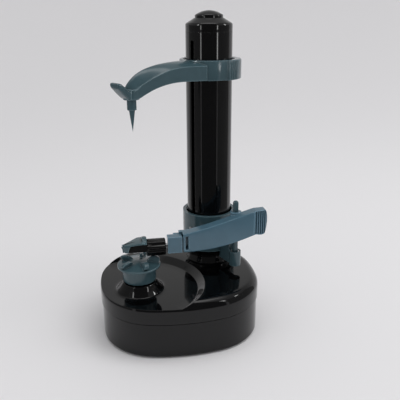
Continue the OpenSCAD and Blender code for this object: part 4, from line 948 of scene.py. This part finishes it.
def area(name, place, target, size, power, mirrored=False):
    """A soft box that faces its target, and shows in gloss only if mirrored."""
    light = bpy.data.lights.new(name, "AREA")
    light.shape, light.size, light.size_y, light.energy = "RECTANGLE", *size, power
    obj = bpy.data.objects.new(name, light)
    aim = np.array(target, float) - np.array(place, float)
    back = -aim / np.linalg.norm(aim)
    side = np.cross([0, 0, 1.0], back)
    side = side / np.linalg.norm(side)
    turn = np.eye(4)
    turn[:3, 0], turn[:3, 1], turn[:3, 2], turn[:3, 3] = side, np.cross(back, side), back, place
    obj.matrix_world = Matrix(turn.tolist())
    obj.visible_glossy = mirrored
    bpy.context.scene.collection.objects.link(obj)


# Screens round the column that only gloss sees: azimuths from and to in degrees, radius, heights from and
# to, and brightness. The wide ones darken what the gloss mirrors, and the narrow ones draw its highlights.
SCREENS = {
    "dark_screen": (223.4, 297.0, 0.30, 0.0, 1.0, 0.12),
    "left_shade": (150, 219, 0.30, 0.0, 0.30, 0.25),
    "right_shade": (301.4, 370, 0.30, 0.0, 0.30, 0.25),
    "left_slit": (218.8, 223.4, 0.29, 0.212, 0.30, 5.0),
    "right_slit": (297.0, 301.6, 0.29, 0.212, 0.30, 8.0),
    "left_strip": (201.4, 208.6, 0.62, 0.38, 0.66, 14.0),
    "right_strip": (339.8, 347.0, 0.52, 0.30, 0.60, 14.0),
}


def curtain(name, start, stop, radius, low, high, strength):
    """One screen: an arc of a cylinder round the column's axis, with about 4 degrees to a face."""
    a = np.radians(np.linspace(start, stop, max(2, int(abs(stop - start) / 4) + 1)))
    z = np.linspace(low, high, 8)[:, None]
    x, y = COLUMN[0] * MM + radius * np.cos(a), COLUMN[1] * MM + radius * np.sin(a)
    points = np.stack(np.broadcast_arrays(x, y, z), -1)
    screen = linked(name, points.reshape(-1, 3), quads(points, closed=False))
    screen.data.shade_smooth()
    material, tree = blank(name)
    glow = add(tree, "ShaderNodeEmission", {"Color": grey(1.0), "Strength": strength})
    add(tree, "ShaderNodeOutputMaterial", Surface=glow.outputs[0])
    screen.data.materials.append(material)
    screen.visible_camera = screen.visible_shadow = screen.visible_diffuse = False
    screen.visible_transmission = screen.visible_volume_scatter = False


class PEELER_OT_stage(bpy.types.Operator):
    """Make the floor, the sky, the screens, the soft lights and the camera"""

    bl_idname = "peeler.stage"
    bl_label = "Stage"

    def execute(self, context):
        scene = context.scene
        colours, sizes = scene.peeler_colours, scene.peeler_sizes
        scene.view_settings.view_transform = "Standard"

        # The room: pale at the horizon where the paper ends, dim above it, bright overhead
        scene.world = bpy.data.worlds.new("Studio")
        scene.world.use_nodes = True
        tree = scene.world.node_tree
        tree.nodes.clear()
        way = add(tree, "ShaderNodeTexCoord").outputs["Generated"]
        height = add(tree, "ShaderNodeSeparateXYZ", _0=way).outputs["Z"]
        pale = linear(colours.backdrop)
        dim = [(0.42, grey(0.54)), (0.52, grey(0.52)), (0.65, grey(0.4)), (0.88, grey(0.5))]
        stops = [(0.0, pale), (0.3, pale), *dim, (1.0, grey(1.6))]
        sky = add(tree, "ShaderNodeValToRGB", {"stops": stops}, Fac=height)
        lamp = add(tree, "ShaderNodeBackground", {"Strength": 1.0}, Color=sky.outputs["Color"])
        add(tree, "ShaderNodeOutputWorld", Surface=lamp.outputs[0])

        # The floor is a sheet of paper that lies flat and curls up all round, like a shallow bowl
        across = np.radians(np.linspace(0, 360, 96, endpoint=False))
        out = (np.linspace(0, 1, 40) ** 1.5)[:, None]
        curl = 0.42 * np.clip((out - 0.25) / 0.75, 0, 1) ** 3
        run = sizes.floor_size / 2 * out
        points = np.stack(np.broadcast_arrays(run * np.cos(across), run * np.sin(across), curl), -1)
        floor = linked("studio_floor", points.reshape(-1, 3), quads(points))
        floor.data.shade_smooth()
        # Seamless paper, rolled: matt, with fibres too fine to see one by one
        material, tree = blank("Seamless paper")
        place = add(tree, "ShaderNodeTexCoord").outputs["Object"]
        fibre = add(tree, "ShaderNodeTexNoise", {"Scale": 900.0, "Detail": 4.0}, Vector=place)
        bump = add(tree, "ShaderNodeBump", {"Distance": 0.02 * MM}, Height=fibre.outputs["Fac"])
        shader = add(
            tree,
            "ShaderNodeBsdfPrincipled",
            {"Base Color": linear(colours.floor), "Roughness": 0.8, "Specular IOR Level": 0.2},
            Normal=bump.outputs[0],
        )
        add(tree, "ShaderNodeOutputMaterial", Surface=shader.outputs[0])
        floor.data.materials.append(material)

        for name, values in SCREENS.items():
            curtain(name, *values)
        area("key", (0.9, -0.35, 1.7), (0, 0, 0.1), (1.1, 1.1), sizes.key_power)
        area("fill", (-0.5, -1.2, 0.9), (0, 0, 0.1), (1.0, 1.0), 1)
        # A soft box straight above, which draws the pale lines along the mouldings' upper edges
        area("overhead", (0.05, 0.15, 1.5), (0, 0, 0), (0.9, 0.5), 1.5, mirrored=True)

        lens = bpy.data.cameras.new("camera")
        lens.sensor_width, lens.lens = 36, 49.24
        lens.clip_start, lens.clip_end = 0.01, 20
        camera = bpy.data.objects.new("camera", lens)
        camera.matrix_world = camera_matrix()
        scene.collection.objects.link(camera)
        scene.camera = camera
        return {"FINISHED"}


class PEELER_PT_panel(bpy.types.Panel):
    """The peeler's operators and settings"""

    bl_idname = "PEELER_PT_panel"
    bl_label = "Potato Peeler"
    bl_space_type = "VIEW_3D"
    bl_region_type = "UI"
    bl_category = "Peeler"

    def draw(self, context):
        for operator in OPERATORS:
            self.layout.operator(operator.bl_idname)
        for group in (context.scene.peeler_colours, context.scene.peeler_sizes):
            for name in group.__annotations__:
                self.layout.prop(group, name)


OPERATORS = (
    PEELER_OT_finishes,
    PEELER_OT_deck,
    PEELER_OT_cap,
    PEELER_OT_holder,
    PEELER_OT_peeling_arm,
    PEELER_OT_blade_head,
    PEELER_OT_top_arm,
    PEELER_OT_stage,
)
CLASSES = (PeelerColours, PeelerSizes, *OPERATORS, PEELER_PT_panel)


def register():
    for cls in CLASSES:
        bpy.utils.register_class(cls)
    bpy.types.Scene.peeler_colours = bpy.props.PointerProperty(type=PeelerColours)
    bpy.types.Scene.peeler_sizes = bpy.props.PointerProperty(type=PeelerSizes)


def unregister():
    del bpy.types.Scene.peeler_sizes
    del bpy.types.Scene.peeler_colours
    for cls in reversed(CLASSES):
        bpy.utils.unregister_class(cls)


def main():
    register()
    for operator in OPERATORS:
        group, name = operator.bl_idname.split(".")
        getattr(getattr(bpy.ops, group), name)()


if __name__ == "__main__":
    main()
